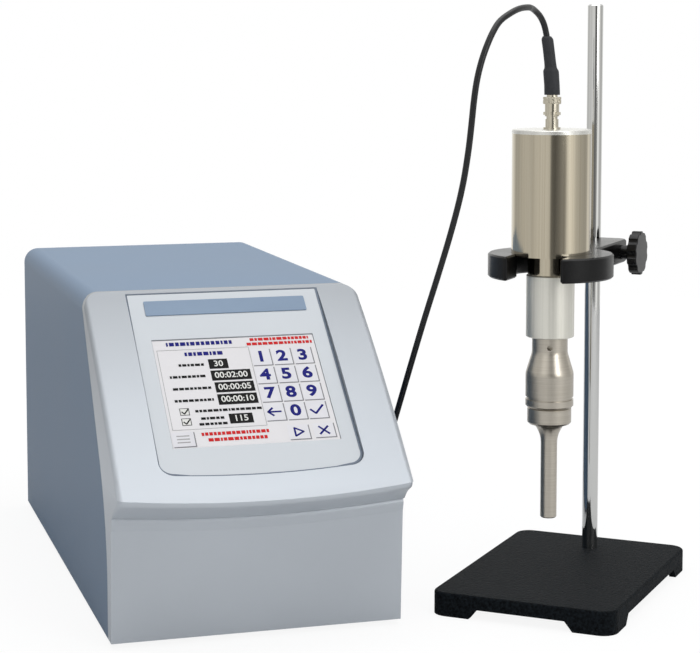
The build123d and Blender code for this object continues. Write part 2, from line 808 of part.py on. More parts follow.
rocker_pivot = (case_x + rocker_right, case_y + panel_face - pivot_depth, rocker_up)
tilt = radians(rocker_tilt)
rocker_side = Plane(rocker_pivot, x_dir=(0, cos(tilt), sin(tilt)), z_dir=(1, 0, 0))
with BuildPart() as power_rocker:
    with BuildSketch(rocker_side):
        with BuildLine():
            Polyline(
                (4.0, 0), (6.2, rocker_reach), (1.5, rocker_reach), (-4.2, 6.0), (-4.2, -6.0),
                (1.5, -rocker_reach), (6.2, -rocker_reach), close=True)
        make_face()
    extrude(amount=rocker_width / 2 - 0.3, both=True)
    with BuildSketch(rocker_side):
        Circle(pivot_radius)
    extrude(amount=rocker_width / 2 + pivot_stub, both=True)
keep(power_rocker, "power_rocker")

# Remote-control socket: a threaded barrel with a keyed recess
with BuildPart() as remote_jack:
    with BuildSketch(rear_face):
        with Locations((remote_right, remote_up)):
            Circle(remote_radius + 2.5)
    extrude(amount=-1.5)
    with BuildSketch(rear_face.offset(-6)):
        with Locations((remote_right, remote_up)):
            Circle(remote_radius)
    extrude(amount=24)
    with BuildSketch(rear_face.offset(-6)):
        with Locations((remote_right, remote_up)):
            Circle(remote_radius - 2)
            Circle(remote_radius - 4, mode=Mode.SUBTRACT)
    extrude(amount=10, mode=Mode.SUBTRACT)
keep(remote_jack, "remote_jack")

# Support stand: hollow cast plate with arched skirts and a boss for the rod
base_middle = (base_back + base_front) / 2
arch_side = base_width / 2 - base_foot_width
arch_front = base_length / 2 - base_foot_length
with BuildPart() as stand_base:
    with BuildSketch(stand):
        with Locations((0, base_middle)):
            RectangleRounded(base_width, base_length, base_corner)
    extrude(amount=base_top)
    fillet(stand_base.edges().group_by(Axis.Z)[-1], base_edge)
    with BuildSketch(stand):
        with Locations((0, base_middle)):
            RectangleRounded(base_width - 2 * base_wall, base_length - 2 * base_wall, base_corner - base_wall)
    extrude(amount=base_top - base_skin, mode=Mode.SUBTRACT)
    with BuildSketch(stand.offset(1)):
        with Locations((0, rod_offset)):
            Circle(rod_boss)
    extrude(amount=base_top - base_skin - 1)
    with BuildSketch(stand_front.offset(-base_back - 10)):
        with BuildLine():
            Polyline((-arch_side, 0), (arch_slant - arch_side, arch_height), (arch_side - arch_slant, arch_height),
                     (arch_side, 0), close=True)
        make_face()
    extrude(amount=base_length + 20, mode=Mode.SUBTRACT)
    with BuildSketch(stand_side.offset(-base_width)):
        with BuildLine():
            Polyline((base_middle - arch_front, 0), (base_middle + arch_slant - arch_front, arch_height),
                     (base_middle + arch_front - arch_slant, arch_height), (base_middle + arch_front, 0), close=True)
        make_face()
    extrude(amount=2 * base_width, mode=Mode.SUBTRACT)
    with BuildSketch(stand.offset(rod_seat)):
        with Locations((0, rod_offset)):
            Circle(rod_radius + rod_gap)
    extrude(amount=base_top, mode=Mode.SUBTRACT)
keep(stand_base, "stand_base")

with BuildPart() as support_rod:
    with BuildSketch(stand.offset(rod_seat)):
        with Locations((0, rod_offset)):
            Circle(rod_radius)
    extrude(amount=rod_top - rod_seat)
    chamfer(support_rod.edges().group_by(Axis.Z)[-1], 1)
keep(support_rod, "support_rod")

# Clamp: a C round the converter's neck, and an arm bored for the rod
with BuildPart() as clamp_body:
    with BuildSketch(stand.offset(clamp_bottom)) as clamp_outline:
        Circle(ring_radius)
        with Locations((0, (rod_offset + arm_past_rod) / 2)):
            Rectangle(2 * arm_half_width, rod_offset + arm_past_rod)
        fillet(clamp_outline.vertices().group_by(Axis.Y)[-1], arm_corner)
        Circle(ring_bore, mode=Mode.SUBTRACT)
        with Locations((0, -ring_radius)):
            Rectangle(ring_gap, 2 * ring_radius, mode=Mode.SUBTRACT)
        fillet(clamp_outline.vertices().group_by(Axis.Y)[0], clamp_edge + 1)
    extrude(amount=clamp_thick)
    clamp_rims = clamp_body.edges().group_by(Axis.Z)[-1] + clamp_body.edges().group_by(Axis.Z)[0]
    chamfer(clamp_rims, clamp_edge)
    with BuildSketch(stand.offset(clamp_top)):
        Circle(housing_radius + seat_gap)
    extrude(amount=-seat_depth, mode=Mode.SUBTRACT)
    with BuildSketch(stand.offset(clamp_bottom)):
        with Locations((0, rod_offset)):
            Circle(rod_radius + rod_gap)
    extrude(amount=clamp_thick, mode=Mode.SUBTRACT)
    with BuildSketch(screw_plane):
        Circle(stud_radius + stud_play)
    extrude(amount=arm_half_width + 1, mode=Mode.SUBTRACT)
keep(clamp_body, "clamp_body")

knob_start = arm_half_width + feed_gap
with BuildPart() as thumbscrew_stud:
    with BuildSketch(screw_plane.offset(rod_radius + stud_gap)):
        Circle(stud_radius)
    extrude(amount=knob_start + knob_hub + knob_thick - knob_cap - rod_radius - stud_gap)
keep(thumbscrew_stud, "thumbscrew_stud")

with BuildPart() as clamp_knob:
    with BuildSketch(screw_plane.offset(knob_start)):
        Circle(knob_hub_radius)
    extrude(amount=knob_hub)
    with BuildSketch(screw_plane.offset(knob_start + knob_hub)):
        Circle(knob_radius)
        with PolarLocations(knob_radius + knob_lobe_out, knob_lobes, start_angle=knob_phase):
            Circle(knob_scallop, mode=Mode.SUBTRACT)
    extrude(amount=knob_thick)
    fillet(clamp_knob.edges().filter_by(GeomType.CIRCLE).filter_by(on_knob_face), knob_edge)
    with BuildSketch(screw_plane.offset(knob_start)):
        Circle(stud_radius + stud_play)
    extrude(amount=knob_hub + knob_thick - knob_cap + stud_play, mode=Mode.SUBTRACT)
keep(clamp_knob, "clamp_knob")

# Converter housing: a deep-drawn can standing in the clamp's seat, its neck passing down
cap_bottom = housing_top - cap_thick
floor_top = seat_z + housing_floor
with BuildPart() as converter_housing:
    turned([
        (collar_neck_bore, neck_bottom), (collar_neck_radius, neck_bottom), (collar_neck_radius, seat_z),
        (housing_radius, seat_z), (housing_radius, cap_bottom), (housing_radius - housing_wall, cap_bottom),
        (housing_radius - housing_wall, floor_top), (collar_neck_bore, floor_top)])
    fillet(converter_housing.edges().group_by(Axis.Z)[0].sort_by(SortBy.LENGTH)[-1], 0.6)
keep(converter_housing, "converter_housing")

with BuildPart() as housing_cap:
    turned([
        (0, cap_bottom - 2), (housing_radius - housing_wall - 0.05, cap_bottom - 2),
        (housing_radius - housing_wall - 0.05, cap_bottom), (housing_radius, cap_bottom),
        (housing_radius, housing_top), (0, housing_top)])
    fillet(housing_cap.edges().group_by(Axis.Z)[-1], cap_edge)
    with BuildSketch(stand.offset(housing_top)):
        Circle(barrel_radius - 0.5)
    extrude(amount=-cap_thick - 2, mode=Mode.SUBTRACT)
keep(housing_cap, "housing_cap")

# Transducer stack from the front driver upward, held by one bolt
flange_low = floor_top + 2 * ring_cord_radius
flange_high = flange_low + driver_flange
head_top = flange_high + driver_head
stack_top = head_top + piezo_count * (piezo_thick + electrode_thick)
mass_top = stack_top + back_mass_length
bore_gap = 0.05
with BuildPart() as front_driver:
    turned([
        (0, neck_bottom - spigot_length), (spigot_radius, neck_bottom - spigot_length),
        (spigot_radius, neck_bottom), (driver_stem, neck_bottom), (driver_stem, flange_low),
        (driver_flange_radius, flange_low), (driver_flange_radius, flange_high),
        (driver_head_radius, flange_high), (driver_head_radius, head_top),
        (bolt_radius + bore_gap, head_top), (bolt_radius + bore_gap, head_top - bolt_depth),
        (0, head_top - bolt_depth)])
keep(front_driver, "front_driver")

ring_middle = driver_flange_radius - ring_cord_radius - 0.4
with BuildPart() as isolation_rings:
    for ring_level in (flange_low - ring_cord_radius, flange_high + ring_cord_radius):
        with BuildSketch(probe_section):
            with Locations((ring_middle, ring_level)):
                Circle(ring_cord_radius)
        revolve(axis=probe_axis)
keep(isolation_rings, "isolation_rings")

keeper_low = flange_high + 2 * ring_cord_radius
with BuildPart() as retaining_ring:
    turned(ring_points(driver_head_radius + 1, housing_radius - housing_wall, keeper_low, keeper_low + 4))
keep(retaining_ring, "retaining_ring")

with BuildPart() as piezo_rings:
    for disc in range(piezo_count):
        disc_low = head_top + disc * (piezo_thick + electrode_thick)
        turned(ring_points(piezo_hole, piezo_radius, disc_low, disc_low + piezo_thick))
keep(piezo_rings, "piezo_rings")

with BuildPart() as electrode_rings:
    for disc in range(piezo_count):
        disc_low = head_top + disc * (piezo_thick + electrode_thick) + piezo_thick
        with BuildSketch(stand.offset(disc_low)):
            Circle(piezo_radius)
            with Locations((0, (piezo_radius + 2) * (-1) ** disc)):
                Rectangle(5, 8)
            Circle(piezo_hole, mode=Mode.SUBTRACT)
        extrude(amount=electrode_thick)
keep(electrode_rings, "electrode_rings")

with BuildPart() as back_mass:
    turned(ring_points(bolt_radius + bore_gap, driver_head_radius, stack_top, mass_top))
keep(back_mass, "back_mass")

with BuildPart() as stack_bolt:
    with BuildSketch(stand.offset(head_top - bolt_depth)):
        Circle(bolt_radius)
    extrude(amount=mass_top - head_top + bolt_depth)
    with BuildSketch(stand.offset(mass_top)):
        Circle(bolt_head_radius)
    extrude(amount=bolt_head)
    with BuildSketch(stand.offset(mass_top + bolt_head)):
        RegularPolygon(bolt_radius, 6)
    extrude(amount=-bolt_head + 2, mode=Mode.SUBTRACT)
keep(stack_bolt, "stack_bolt")

# Driver sleeve under the clamp, bored for the driver's spigot and for the joint stud
half_stud = joint_stud_length / 2
stud_bore = joint_stud_radius + bore_gap
with BuildPart() as driver_sleeve:
    turned([
        (spigot_radius + bore_gap, neck_bottom), (sleeve_radius - 0.6, neck_bottom),
        (sleeve_radius, neck_bottom - 0.6), (sleeve_radius, sleeve_bottom + 0.6),
        (sleeve_radius - 0.6, sleeve_bottom), (stud_bore, sleeve_bottom),
        (stud_bore, sleeve_bottom + half_stud), (0, sleeve_bottom + half_stud),
        (0, neck_bottom - spigot_length - 0.5), (spigot_radius + bore_gap, neck_bottom - spigot_length - 0.5)])
keep(driver_sleeve, "driver_sleeve")

with BuildPart() as upper_stud:
    with BuildSketch(stand.offset(sleeve_bottom - half_stud)):
        Circle(joint_stud_radius)
    extrude(amount=joint_stud_length)
keep(upper_stud, "upper_stud")

# Upper horn: neck, smooth flare to a wide band, sharp groove and chamfered foot
flare_blend = flare_round / 4
with BuildPart() as upper_horn:
    with BuildSketch(probe_section):
        with BuildLine():
            Polyline((stud_bore, sleeve_bottom), (horn_neck_radius - 0.5, sleeve_bottom),
                     (horn_neck_radius, sleeve_bottom - 0.5), (horn_neck_radius, flare_start + flare_blend))
            FilletPolyline((horn_neck_radius, flare_start + flare_blend), (horn_neck_radius, flare_start),
                           (band_radius, flare_end), (band_radius, flare_end - flare_blend), radius=flare_round)
            Polyline((band_radius, flare_end - flare_blend), (band_radius, groove_top),
                     (band_radius - groove_depth, groove_top),
                     (band_radius - groove_depth, groove_top - groove_height),
                     (band_radius, groove_top - groove_height), (band_radius, horn_bottom + horn_chamfer),
                     (band_radius - horn_chamfer, horn_bottom), (stud_bore, horn_bottom),
                     (stud_bore, horn_bottom + half_stud), (0, horn_bottom + half_stud),
                     (0, sleeve_bottom - half_stud), (stud_bore, sleeve_bottom - half_stud),
                     (stud_bore, sleeve_bottom))
        make_face()
    revolve(axis=probe_axis)
    with BuildSketch(Plane((probe_x, probe_y, pin_hole_up), z_dir=pin_direction).offset(horn_neck_radius - 6)):
        Circle(pin_hole_radius)
    extrude(amount=10, mode=Mode.SUBTRACT)
keep(upper_horn, "upper_horn")

with BuildPart() as lower_stud:
    with BuildSketch(stand.offset(horn_bottom - half_stud)):
        Circle(joint_stud_radius)
    extrude(amount=joint_stud_length)
keep(lower_stud, "lower_stud")

# Probe: stepped horn that blends from its base into the slim shank
blend_foot = probe_base_bottom - probe_blend
blend_reach = probe_base_radius - 1.5 - shank_radius
lower_bore_top = horn_bottom - half_stud
with BuildPart() as probe_horn:
    with BuildSketch(probe_section):
        with BuildLine():
            Polyline((stud_bore, horn_bottom), (probe_base_radius - 0.8, horn_bottom),
                     (probe_base_radius, horn_bottom - 0.8), (probe_base_radius, probe_base_bottom + 1.5),
                     (probe_base_radius - 1.5, probe_base_bottom))
            Spline((probe_base_radius - 1.5, probe_base_bottom),
                   (shank_radius + 0.293 * blend_reach, blend_foot + 0.707 * probe_blend),
                   (shank_radius, blend_foot), tangents=((-1, 0), (0, -1)))
            Polyline((shank_radius, blend_foot), (shank_radius, tip_joint), (tip_bore, tip_joint),
                     (tip_bore, tip_joint + tip_stud_length + 0.5), (0, tip_joint + tip_stud_length + 0.5),
                     (0, lower_bore_top), (stud_bore, lower_bore_top), (stud_bore, horn_bottom))
        make_face()
    revolve(axis=probe_axis)
keep(probe_horn, "probe_horn")

with BuildPart() as replaceable_tip:
    turned([
        (0, tip_end), (shank_radius - tip_bevel, tip_end), (shank_radius, tip_end + tip_bevel),
        (shank_radius, tip_joint), (tip_bore - bore_gap, tip_joint),
        (tip_bore - bore_gap, tip_joint + tip_stud_length), (0, tip_joint + tip_stud_length)])
keep(replaceable_tip, "replaceable_tip")

# Bayonet connectors, the same set on the converter's cap and on the rear panel.
# Heights run outward from the mounting face.
lug_start = jack_flange + barrel_length + jack_neck_length
skirt_start = lug_start - 1
knurl_start = lug_start + lug_length + skirt_length
plug_start = knurl_start + collar_length
boot_start = plug_start + plug_neck
boot_slim = boot_start + boot_length
boot_end = boot_slim + boot_slim_length + boot_tip
cable_seat = boot_end - boot_grip
panel_port = Plane(
    (case_x + output_right, case_y + panel_face, output_up), x_dir=(1, 0, 0), z_dir=(0, 1, 0))
top_port = Plane((probe_x, probe_y, housing_top), x_dir=stand.x_dir, z_dir=(0, 0, 1))


def disc(plane, radius):
    """Round sketch on a plane, for the connectors."""
    with BuildSketch(plane) as outline:
        Circle(radius)
    return outline.sketch


def bar(plane, length, width, middle=0.0, angle=0.0):
    """Rectangular sketch on a plane, moved out along its length and turned."""
    with BuildSketch(plane) as outline:
        with PolarLocations(middle, 1, start_angle=angle):
            Rectangle(length, width)
    return outline.sketch


def track(plane, start):
    """Arc-shaped bayonet track that a lug runs in."""
    low = start - bayonet_turn - track_slack
    span = bayonet_turn + 2 * track_slack
    with BuildSketch(plane) as outline:
        with BuildLine():
            inner = CenterArc((0, 0), track_inner, low, span)
            outer = CenterArc((0, 0), track_outer, low, span)
            Line(inner @ 0, outer @ 0)
            Line(inner @ 1, outer @ 1)
        make_face()
    return outline.sketch


def add_jack(port):
    """Flange, barrel and slim neck with two lugs, bored for the plug's nose."""
    extrude(disc(port, jack_flange_radius), amount=jack_flange)
    extrude(disc(port, barrel_radius - 0.6), amount=-4)
    extrude(disc(port, barrel_radius), amount=jack_flange + barrel_length)
    extrude(disc(port, jack_neck_radius), amount=knurl_start)
    extrude(bar(port.offset(lug_start), 2 * lug_reach, lug_width), amount=lug_length)
    extrude(disc(port.offset(knurl_start), nose_radius + 0.1), amount=-nose_length - 1, mode=Mode.SUBTRACT)


def add_plug(port):
    """Plug body above the jack, with a nose that enters it."""
    extrude(disc(port.offset(knurl_start), plug_radius), amount=boot_start + 4 - knurl_start)
    extrude(disc(port.offset(knurl_start), nose_radius), amount=-nose_length)


def add_collar(port):
    """Bayonet collar: slotted skirt and grip that turn on the jack and the plug."""
    extrude(disc(port.offset(skirt_start), skirt_radius), amount=knurl_start - skirt_start)
    extrude(disc(port.offset(knurl_start), collar_radius), amount=collar_length)
    extrude(disc(port.offset(skirt_start), jack_neck_radius + collar_gap),
            amount=knurl_start - skirt_start, mode=Mode.SUBTRACT)
    extrude(disc(port.offset(knurl_start), plug_radius + collar_gap), amount=collar_length, mode=Mode.SUBTRACT)
    for side in (0, 180):
        extrude(track(port.offset(lug_start - lug_play / 2), side),
                amount=lug_length + lug_play, dir=port.z_dir, mode=Mode.SUBTRACT)
        extrude(bar(port.offset(skirt_start), 4, lug_width + lug_play, skirt_radius, side - bayonet_turn),
                amount=lug_start - skirt_start, mode=Mode.SUBTRACT)


def add_boot(port):
    """Moulded boot: thick over the plug, slim along the cable, gripped at its tip."""
    extrude(disc(port.offset(boot_start), boot_radius), amount=boot_length)
    extrude(disc(port.offset(boot_slim), boot_slim_radius), amount=boot_slim_length)
    loft([disc(port.offset(boot_end - boot_tip), boot_slim_radius), disc(port.offset(boot_end), cable_radius + 0.9)])
    extrude(disc(port.offset(boot_end), cable_radius + bore_gap), amount=-boot_grip, mode=Mode.SUBTRACT)
    extrude(disc(port.offset(boot_start), plug_radius), amount=4, mode=Mode.SUBTRACT)


with BuildPart() as converter_jack:
    add_jack(top_port)
keep(converter_jack, "converter_jack")
with BuildPart() as converter_plug:
    add_plug(top_port)
keep(converter_plug, "converter_plug")
with BuildPart() as converter_collar:
    add_collar(top_port)
keep(converter_collar, "converter_collar")
with BuildPart() as converter_boot:
    add_boot(top_port)
keep(converter_boot, "converter_boot")
with BuildPart() as output_jack:
    add_jack(panel_port)
keep(output_jack, "output_jack")
with BuildPart() as output_plug:
    add_plug(panel_port)
keep(output_plug, "output_plug")
with BuildPart() as output_collar:
    add_collar(panel_port)
keep(output_collar, "output_collar")
with BuildPart() as output_boot:
    add_boot(panel_port)
keep(output_boot, "output_boot")


def corner_radii(points):
    """Easiest bend at each inner point of a cord's route."""
    radii = []
    for before, here, after in zip(points, points[1:], points[2:]):
        inward = here - before
        outward = after - here
        run = min(inward.length, outward.length)
        radii.append(0.45 * run / tan(radians(inward.get_angle(outward)) / 2))
    return radii


def add_cord(route):
    """Round cord swept along straight runs with tangent bends."""
    points = [Vector(case_x + right, case_y + back, up) for right, back, up in route]
    radii = corner_radii(points)
    with BuildLine() as path:
        FilletPolyline(*points, radius=radii)
    section = disc(Plane(points[0], z_dir=points[1] - points[0]), cable_radius)
    sweep(section, path=path.line)
    length = sum(edge.length for edge in path.edges())
    print("cord", round(length), "mm long, bends of", [round(radius) for radius in radii], "mm")


with BuildPart() as cable_arch:
    add_cord(arch_route)
keep(cable_arch, "cable_arch")
with BuildPart() as cable_drop:
    add_cord(drop_route)
keep(cable_drop, "cable_drop")
with BuildPart() as cable_rise:
    add_cord(rise_route)
keep(cable_rise, "cable_rise")

# Spare cable, wound flat behind the case and tied
coil_side = Plane(
    (case_x + coil_center[0], case_y + coil_center[1], 0), x_dir=(1, 0, 0), z_dir=(0, -1, 0))
coil_axis = Axis(coil_side.origin, (0, 0, 1))
coil_level = tie_sheet + coil_height / 2
with BuildPart() as cable_coil:
    with BuildSketch(coil_side):
        with Locations((coil_mid_radius, coil_level)):
            RectangleRounded(coil_band, coil_height, coil_corner)
    revolve(axis=coil_axis)
keep(cable_coil, "cable_coil")

with BuildPart() as coil_tie:
    with BuildSketch(coil_side.offset(-tie_width / 2)):
        with Locations((-coil_mid_radius, coil_level)):
            RectangleRounded(coil_band + 2 * tie_sheet, coil_height + 2 * tie_sheet, coil_corner)
    extrude(amount=tie_width)
    with BuildSketch(coil_side):
        with Locations((coil_mid_radius, coil_level)):
            RectangleRounded(coil_band, coil_height, coil_corner)
    revolve(axis=coil_axis, mode=Mode.SUBTRACT)
keep(coil_tie, "coil_tie")
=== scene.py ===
from math import cos, pi, radians, sin, tan

import bmesh
import bpy
from mathutils import Matrix, Vector


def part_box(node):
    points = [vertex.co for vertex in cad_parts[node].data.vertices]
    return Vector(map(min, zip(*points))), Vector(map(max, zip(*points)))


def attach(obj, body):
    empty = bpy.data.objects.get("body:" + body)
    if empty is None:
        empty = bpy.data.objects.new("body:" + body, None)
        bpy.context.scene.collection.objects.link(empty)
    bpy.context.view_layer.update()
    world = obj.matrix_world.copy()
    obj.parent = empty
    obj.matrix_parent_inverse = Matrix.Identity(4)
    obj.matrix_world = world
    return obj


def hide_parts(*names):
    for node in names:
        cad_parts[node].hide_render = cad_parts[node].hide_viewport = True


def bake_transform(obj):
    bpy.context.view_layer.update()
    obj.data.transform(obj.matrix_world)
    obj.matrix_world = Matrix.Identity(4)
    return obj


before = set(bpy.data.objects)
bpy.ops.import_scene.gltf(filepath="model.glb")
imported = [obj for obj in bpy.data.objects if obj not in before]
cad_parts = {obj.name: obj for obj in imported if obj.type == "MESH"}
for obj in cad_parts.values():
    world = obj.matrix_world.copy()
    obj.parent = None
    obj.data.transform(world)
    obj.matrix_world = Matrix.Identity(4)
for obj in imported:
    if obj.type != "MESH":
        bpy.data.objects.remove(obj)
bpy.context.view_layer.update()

# Shared places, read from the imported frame; lengths written here are in mm
MM = 0.001
CASE_DEPTH = 440
CASE_TOP = 232
FACE_BACK = 112
SLOPE = radians(40.4)
TURN = radians(40.75)
JACK_SEAT = 351
PANEL_JACK = (58, 438.5, 50)
cover_low, cover_high = (Vector(p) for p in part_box("wrap_cover"))
horn_low, horn_high = (Vector(p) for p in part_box("probe_horn"))
panel_low, panel_high = (Vector(p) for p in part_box("rear_panel"))
CASE = Vector(((cover_low.x + cover_high.x) / 2, cover_high.y - CASE_DEPTH * MM, 0))
PROBE = Vector(((horn_low.x + horn_high.x) / 2, (horn_low.y + horn_high.y) / 2, 0))


def case_point(x, y, z):
    """Place in the case's frame, which starts on the bench under the middle of the case's front."""
    return CASE + Vector((x, y, z)) * MM


def placed_mm(matrix):
    return matrix @ Matrix.Scale(MM, 4)


# Frames of the sloped face and of the two jacks, +Z pointing out of each
FACE = Matrix.Translation(case_point(0, FACE_BACK, CASE_TOP)) @ Matrix.Rotation(SLOPE, 4, "X")
TOP_PORT = Matrix.Translation(PROBE + Vector((0, 0, JACK_SEAT * MM))) @ Matrix.Rotation(-TURN, 4, "Z")
PANEL_PORT = Matrix.Translation(case_point(*PANEL_JACK)) @ Matrix.Rotation(-pi / 2, 4, "X")


def srgb(r, g, b):
    """Linear colour of a displayed one, given as 0 to 255."""
    def one(c):
        c /= 255
        return c / 12.92 if c <= 0.04045 else ((c + 0.055) / 1.055) ** 2.4
    return (one(r), one(g), one(b), 1)


# Camera at the photograph's place
camera_data = bpy.data.cameras.new("camera")
camera = bpy.data.objects.new("camera", camera_data)
bpy.context.scene.collection.objects.link(camera)
CAMERA_DROP = 0.0899
CAMERA_TURN = -0.2914
camera.location = case_point(-319.994, -1287.701, 410.816)
camera.rotation_euler = (pi / 2 - CAMERA_DROP, 0, CAMERA_TURN)
camera_data.lens = 99.9
camera_data.sensor_width = 36
camera_data.shift_y = -0.15
camera_data.clip_end = 50
bpy.context.scene.camera = camera
bpy.context.scene.view_settings.view_transform = "Standard"


# Height in mm against which the painted shade and light by height is laid
PAINTED_SHADE_TOP = 250


def painted_height_shade(m, place, ramp, painted_shade):
    """Painted shade and light: the base colour laid on darker or lighter with height, from a list of (height
    in mm, share).
    """
    nodes, links = m.node_tree.nodes, m.node_tree.links
    split = nodes.new("ShaderNodeSeparateXYZ")
    links.new(place.outputs["Object"], split.inputs[0])
    height = nodes.new("ShaderNodeMapRange")
    height.inputs["From Max"].default_value = PAINTED_SHADE_TOP * MM
    links.new(split.outputs["Z"], height.inputs["Value"])
    shares = nodes.new("ShaderNodeValToRGB")
    elements = shares.color_ramp.elements
    for index, (level, share) in enumerate(painted_shade):
        element = elements[index] if index < 2 else elements.new(level / PAINTED_SHADE_TOP)
        element.position = level / PAINTED_SHADE_TOP
        element.color = (share, share, share, 1)
    links.new(height.outputs["Result"], shares.inputs["Fac"])
    product = nodes.new("ShaderNodeMix")
    product.data_type = "RGBA"
    product.blend_type = "MULTIPLY"
    product.inputs["Factor"].default_value = 1
    links.new(ramp.outputs["Color"], product.inputs["A"])
    links.new(shares.outputs["Color"], product.inputs["B"])
    return product.outputs["Result"]


def surface(name, low, high, rough=0.4, spread=0.08, metal=0.0, scale=40.0, stretch=(1, 1, 1), grain=400.0,
            bump=0.15, depth=0.0002, coat=0.0, coat_rough=0.1, specular=0.5, detail=4.0, painted_shade=None):
    """Procedural surface whose colour, roughness and fine relief all vary over it; when a list of heights is
    given, shade and light are painted into its colour by height.
    """
    m = bpy.data.materials.new(name)
    m.use_nodes = True
    nodes, links = m.node_tree.nodes, m.node_tree.links
    shader = nodes["Principled BSDF"]
    shader.inputs["Metallic"].default_value = metal
    shader.inputs["Coat Weight"].default_value = coat
    shader.inputs["Coat Roughness"].default_value = coat_rough
    shader.inputs["Specular IOR Level"].default_value = specular
    place = nodes.new("ShaderNodeTexCoord")
    mapping = nodes.new("ShaderNodeMapping")
    mapping.inputs["Scale"].default_value = stretch
    links.new(place.outputs["Object"], mapping.inputs["Vector"])
    broad = nodes.new("ShaderNodeTexNoise")
    broad.inputs["Scale"].default_value = scale
    broad.inputs["Detail"].default_value = detail
    links.new(mapping.outputs["Vector"], broad.inputs["Vector"])
    ramp = nodes.new("ShaderNodeValToRGB")
    ramp.color_ramp.elements[0].position = 0.3
    ramp.color_ramp.elements[0].color = low
    ramp.color_ramp.elements[1].position = 0.7
    ramp.color_ramp.elements[1].color = high
    links.new(broad.outputs["Fac"], ramp.inputs["Fac"])
    # Painted shade and light by height, multiplied into the base colour
    if painted_shade:
        links.new(painted_height_shade(m, place, ramp, painted_shade), shader.inputs["Base Color"])
    else:
        links.new(ramp.outputs["Color"], shader.inputs["Base Color"])
    span = nodes.new("ShaderNodeMapRange")
    span.inputs["To Min"].default_value = max(0.02, rough - spread)
    span.inputs["To Max"].default_value = min(1, rough + spread)
    links.new(broad.outputs["Fac"], span.inputs["Value"])
    links.new(span.outputs["Result"], shader.inputs["Roughness"])
    fine = nodes.new("ShaderNodeTexNoise")
    fine.inputs["Scale"].default_value = grain
    fine.inputs["Detail"].default_value = 3
    links.new(mapping.outputs["Vector"], fine.inputs["Vector"])
    relief = nodes.new("ShaderNodeBump")
    relief.inputs["Strength"].default_value = bump
    relief.inputs["Distance"].default_value = depth
    links.new(fine.outputs["Fac"], relief.inputs["Height"])
    links.new(relief.outputs["Normal"], shader.inputs["Normal"])
    return m


# Materials: case and its inside, cable, stand, probe, then the screen's inks
# Bezel colour darkened towards its top edges: painted shade by height
bezel_paint = surface("bezel_paint", srgb(195, 201, 208), srgb(201, 207, 214), 0.4, 0.05, 0.25, 9,
                      grain=900, bump=0.1, coat=0.1,
                      painted_shade=[(0, 0.84), (95, 0.84), (112, 0.91), (165, 0.77), (228, 0.54)])
# Cover colour darker on its sides and full on its top: painted shade and light by height
cover_paint = surface("cover_paint", srgb(108, 132, 159), srgb(114, 138, 165), 0.48, 0.05, 0.0, 6,
                      grain=1100, bump=0.1, coat=0.05, coat_rough=0.3, specular=0.25,
                      painted_shade=[(0, 0.72), (218, 0.72), (226, 0.85), (232, 1.0)])
plate_film = surface("plate_film", srgb(180, 185, 190), srgb(186, 191, 196), 0.34, 0.04, 0.15, 7,
                     grain=1400, bump=0.05, coat=0.1)
strip_film = surface("strip_film", srgb(104, 128, 155), srgb(116, 140, 166), 0.35, 0.05, 0.0, 12, grain=900,
                     bump=0.05, coat=0.1)
steel_sheet = surface("steel_sheet", srgb(168, 170, 172), srgb(186, 188, 190), 0.38, 0.08, 0.9, 60,
                      (0.05, 1, 1), 500, 0.1)
screen_light = surface("screen_light", srgb(222, 220, 222), srgb(228, 226, 228), 0.3, 0.03, 0.0, 5,
                       grain=200, bump=0.01, specular=0.3)
black_plastic = surface("black_plastic", srgb(26, 27, 29), srgb(34, 35, 38), 0.5, 0.08, 0.0, 60, grain=1500,
                        bump=0.2)
socket_black = surface("socket_black", srgb(20, 20, 22), srgb(28, 28, 30), 0.42, 0.06, 0.0, 80, grain=1200,
                       bump=0.12)
board_green = surface("board_green", srgb(28, 92, 52), srgb(38, 110, 62), 0.4, 0.08, 0.0, 300, grain=900,
                      bump=0.15, coat=0.3)
spacer_metal = surface("spacer_metal", srgb(176, 140, 78), srgb(198, 162, 96), 0.3, 0.06, 1.0, 300,
                       grain=900, bump=0.1)
can_sleeve = surface("can_sleeve", srgb(30, 34, 62), srgb(38, 42, 74), 0.28, 0.05, 0.0, 60, grain=600,
                     bump=0.05, coat=0.4)
ferrite = surface("ferrite", srgb(44, 44, 48), srgb(58, 57, 60), 0.55, 0.08, 0.1, 220, grain=900, bump=0.25)
winding_tape = surface("winding_tape", srgb(198, 146, 58), srgb(214, 166, 76), 0.35, 0.06, 0.0, 200,
                       (1, 1, 6), 700, 0.2)
extruded = surface("extruded", srgb(170, 172, 175), srgb(190, 192, 195), 0.36, 0.07, 0.95, 90, (1, 0.04, 1),
                   600, 0.15)
package_black = surface("package_black", srgb(22, 22, 24), srgb(32, 32, 34), 0.5, 0.08, 0.0, 200,
                        grain=1300, bump=0.2)
rubber = surface("rubber", srgb(30, 31, 33), srgb(38, 39, 41), 0.62, 0.08, 0.0, 90, grain=1400, bump=0.25)
boot_rubber = surface("boot_rubber", srgb(44, 45, 48), srgb(52, 53, 56), 0.6, 0.06, 0.0, 120, grain=1800,
                      bump=0.2, specular=0.3)
cable_skin = surface("cable_skin", srgb(14, 15, 17), srgb(20, 21, 24), 0.36, 0.06, 0.0, 140, grain=900,
                     bump=0.15, specular=0.4)
base_paint = surface("base_paint", srgb(2, 3, 5), srgb(24, 29, 33), 0.62, 0.12, 0.0, 520, grain=600,
                     bump=1.0, depth=0.0014, specular=0.05, detail=1.5)
chrome = surface("chrome", srgb(198, 198, 196), srgb(208, 208, 206), 0.06, 0.02, 1.0, 30, (1, 1, 0.1), 400,
                 0.02)
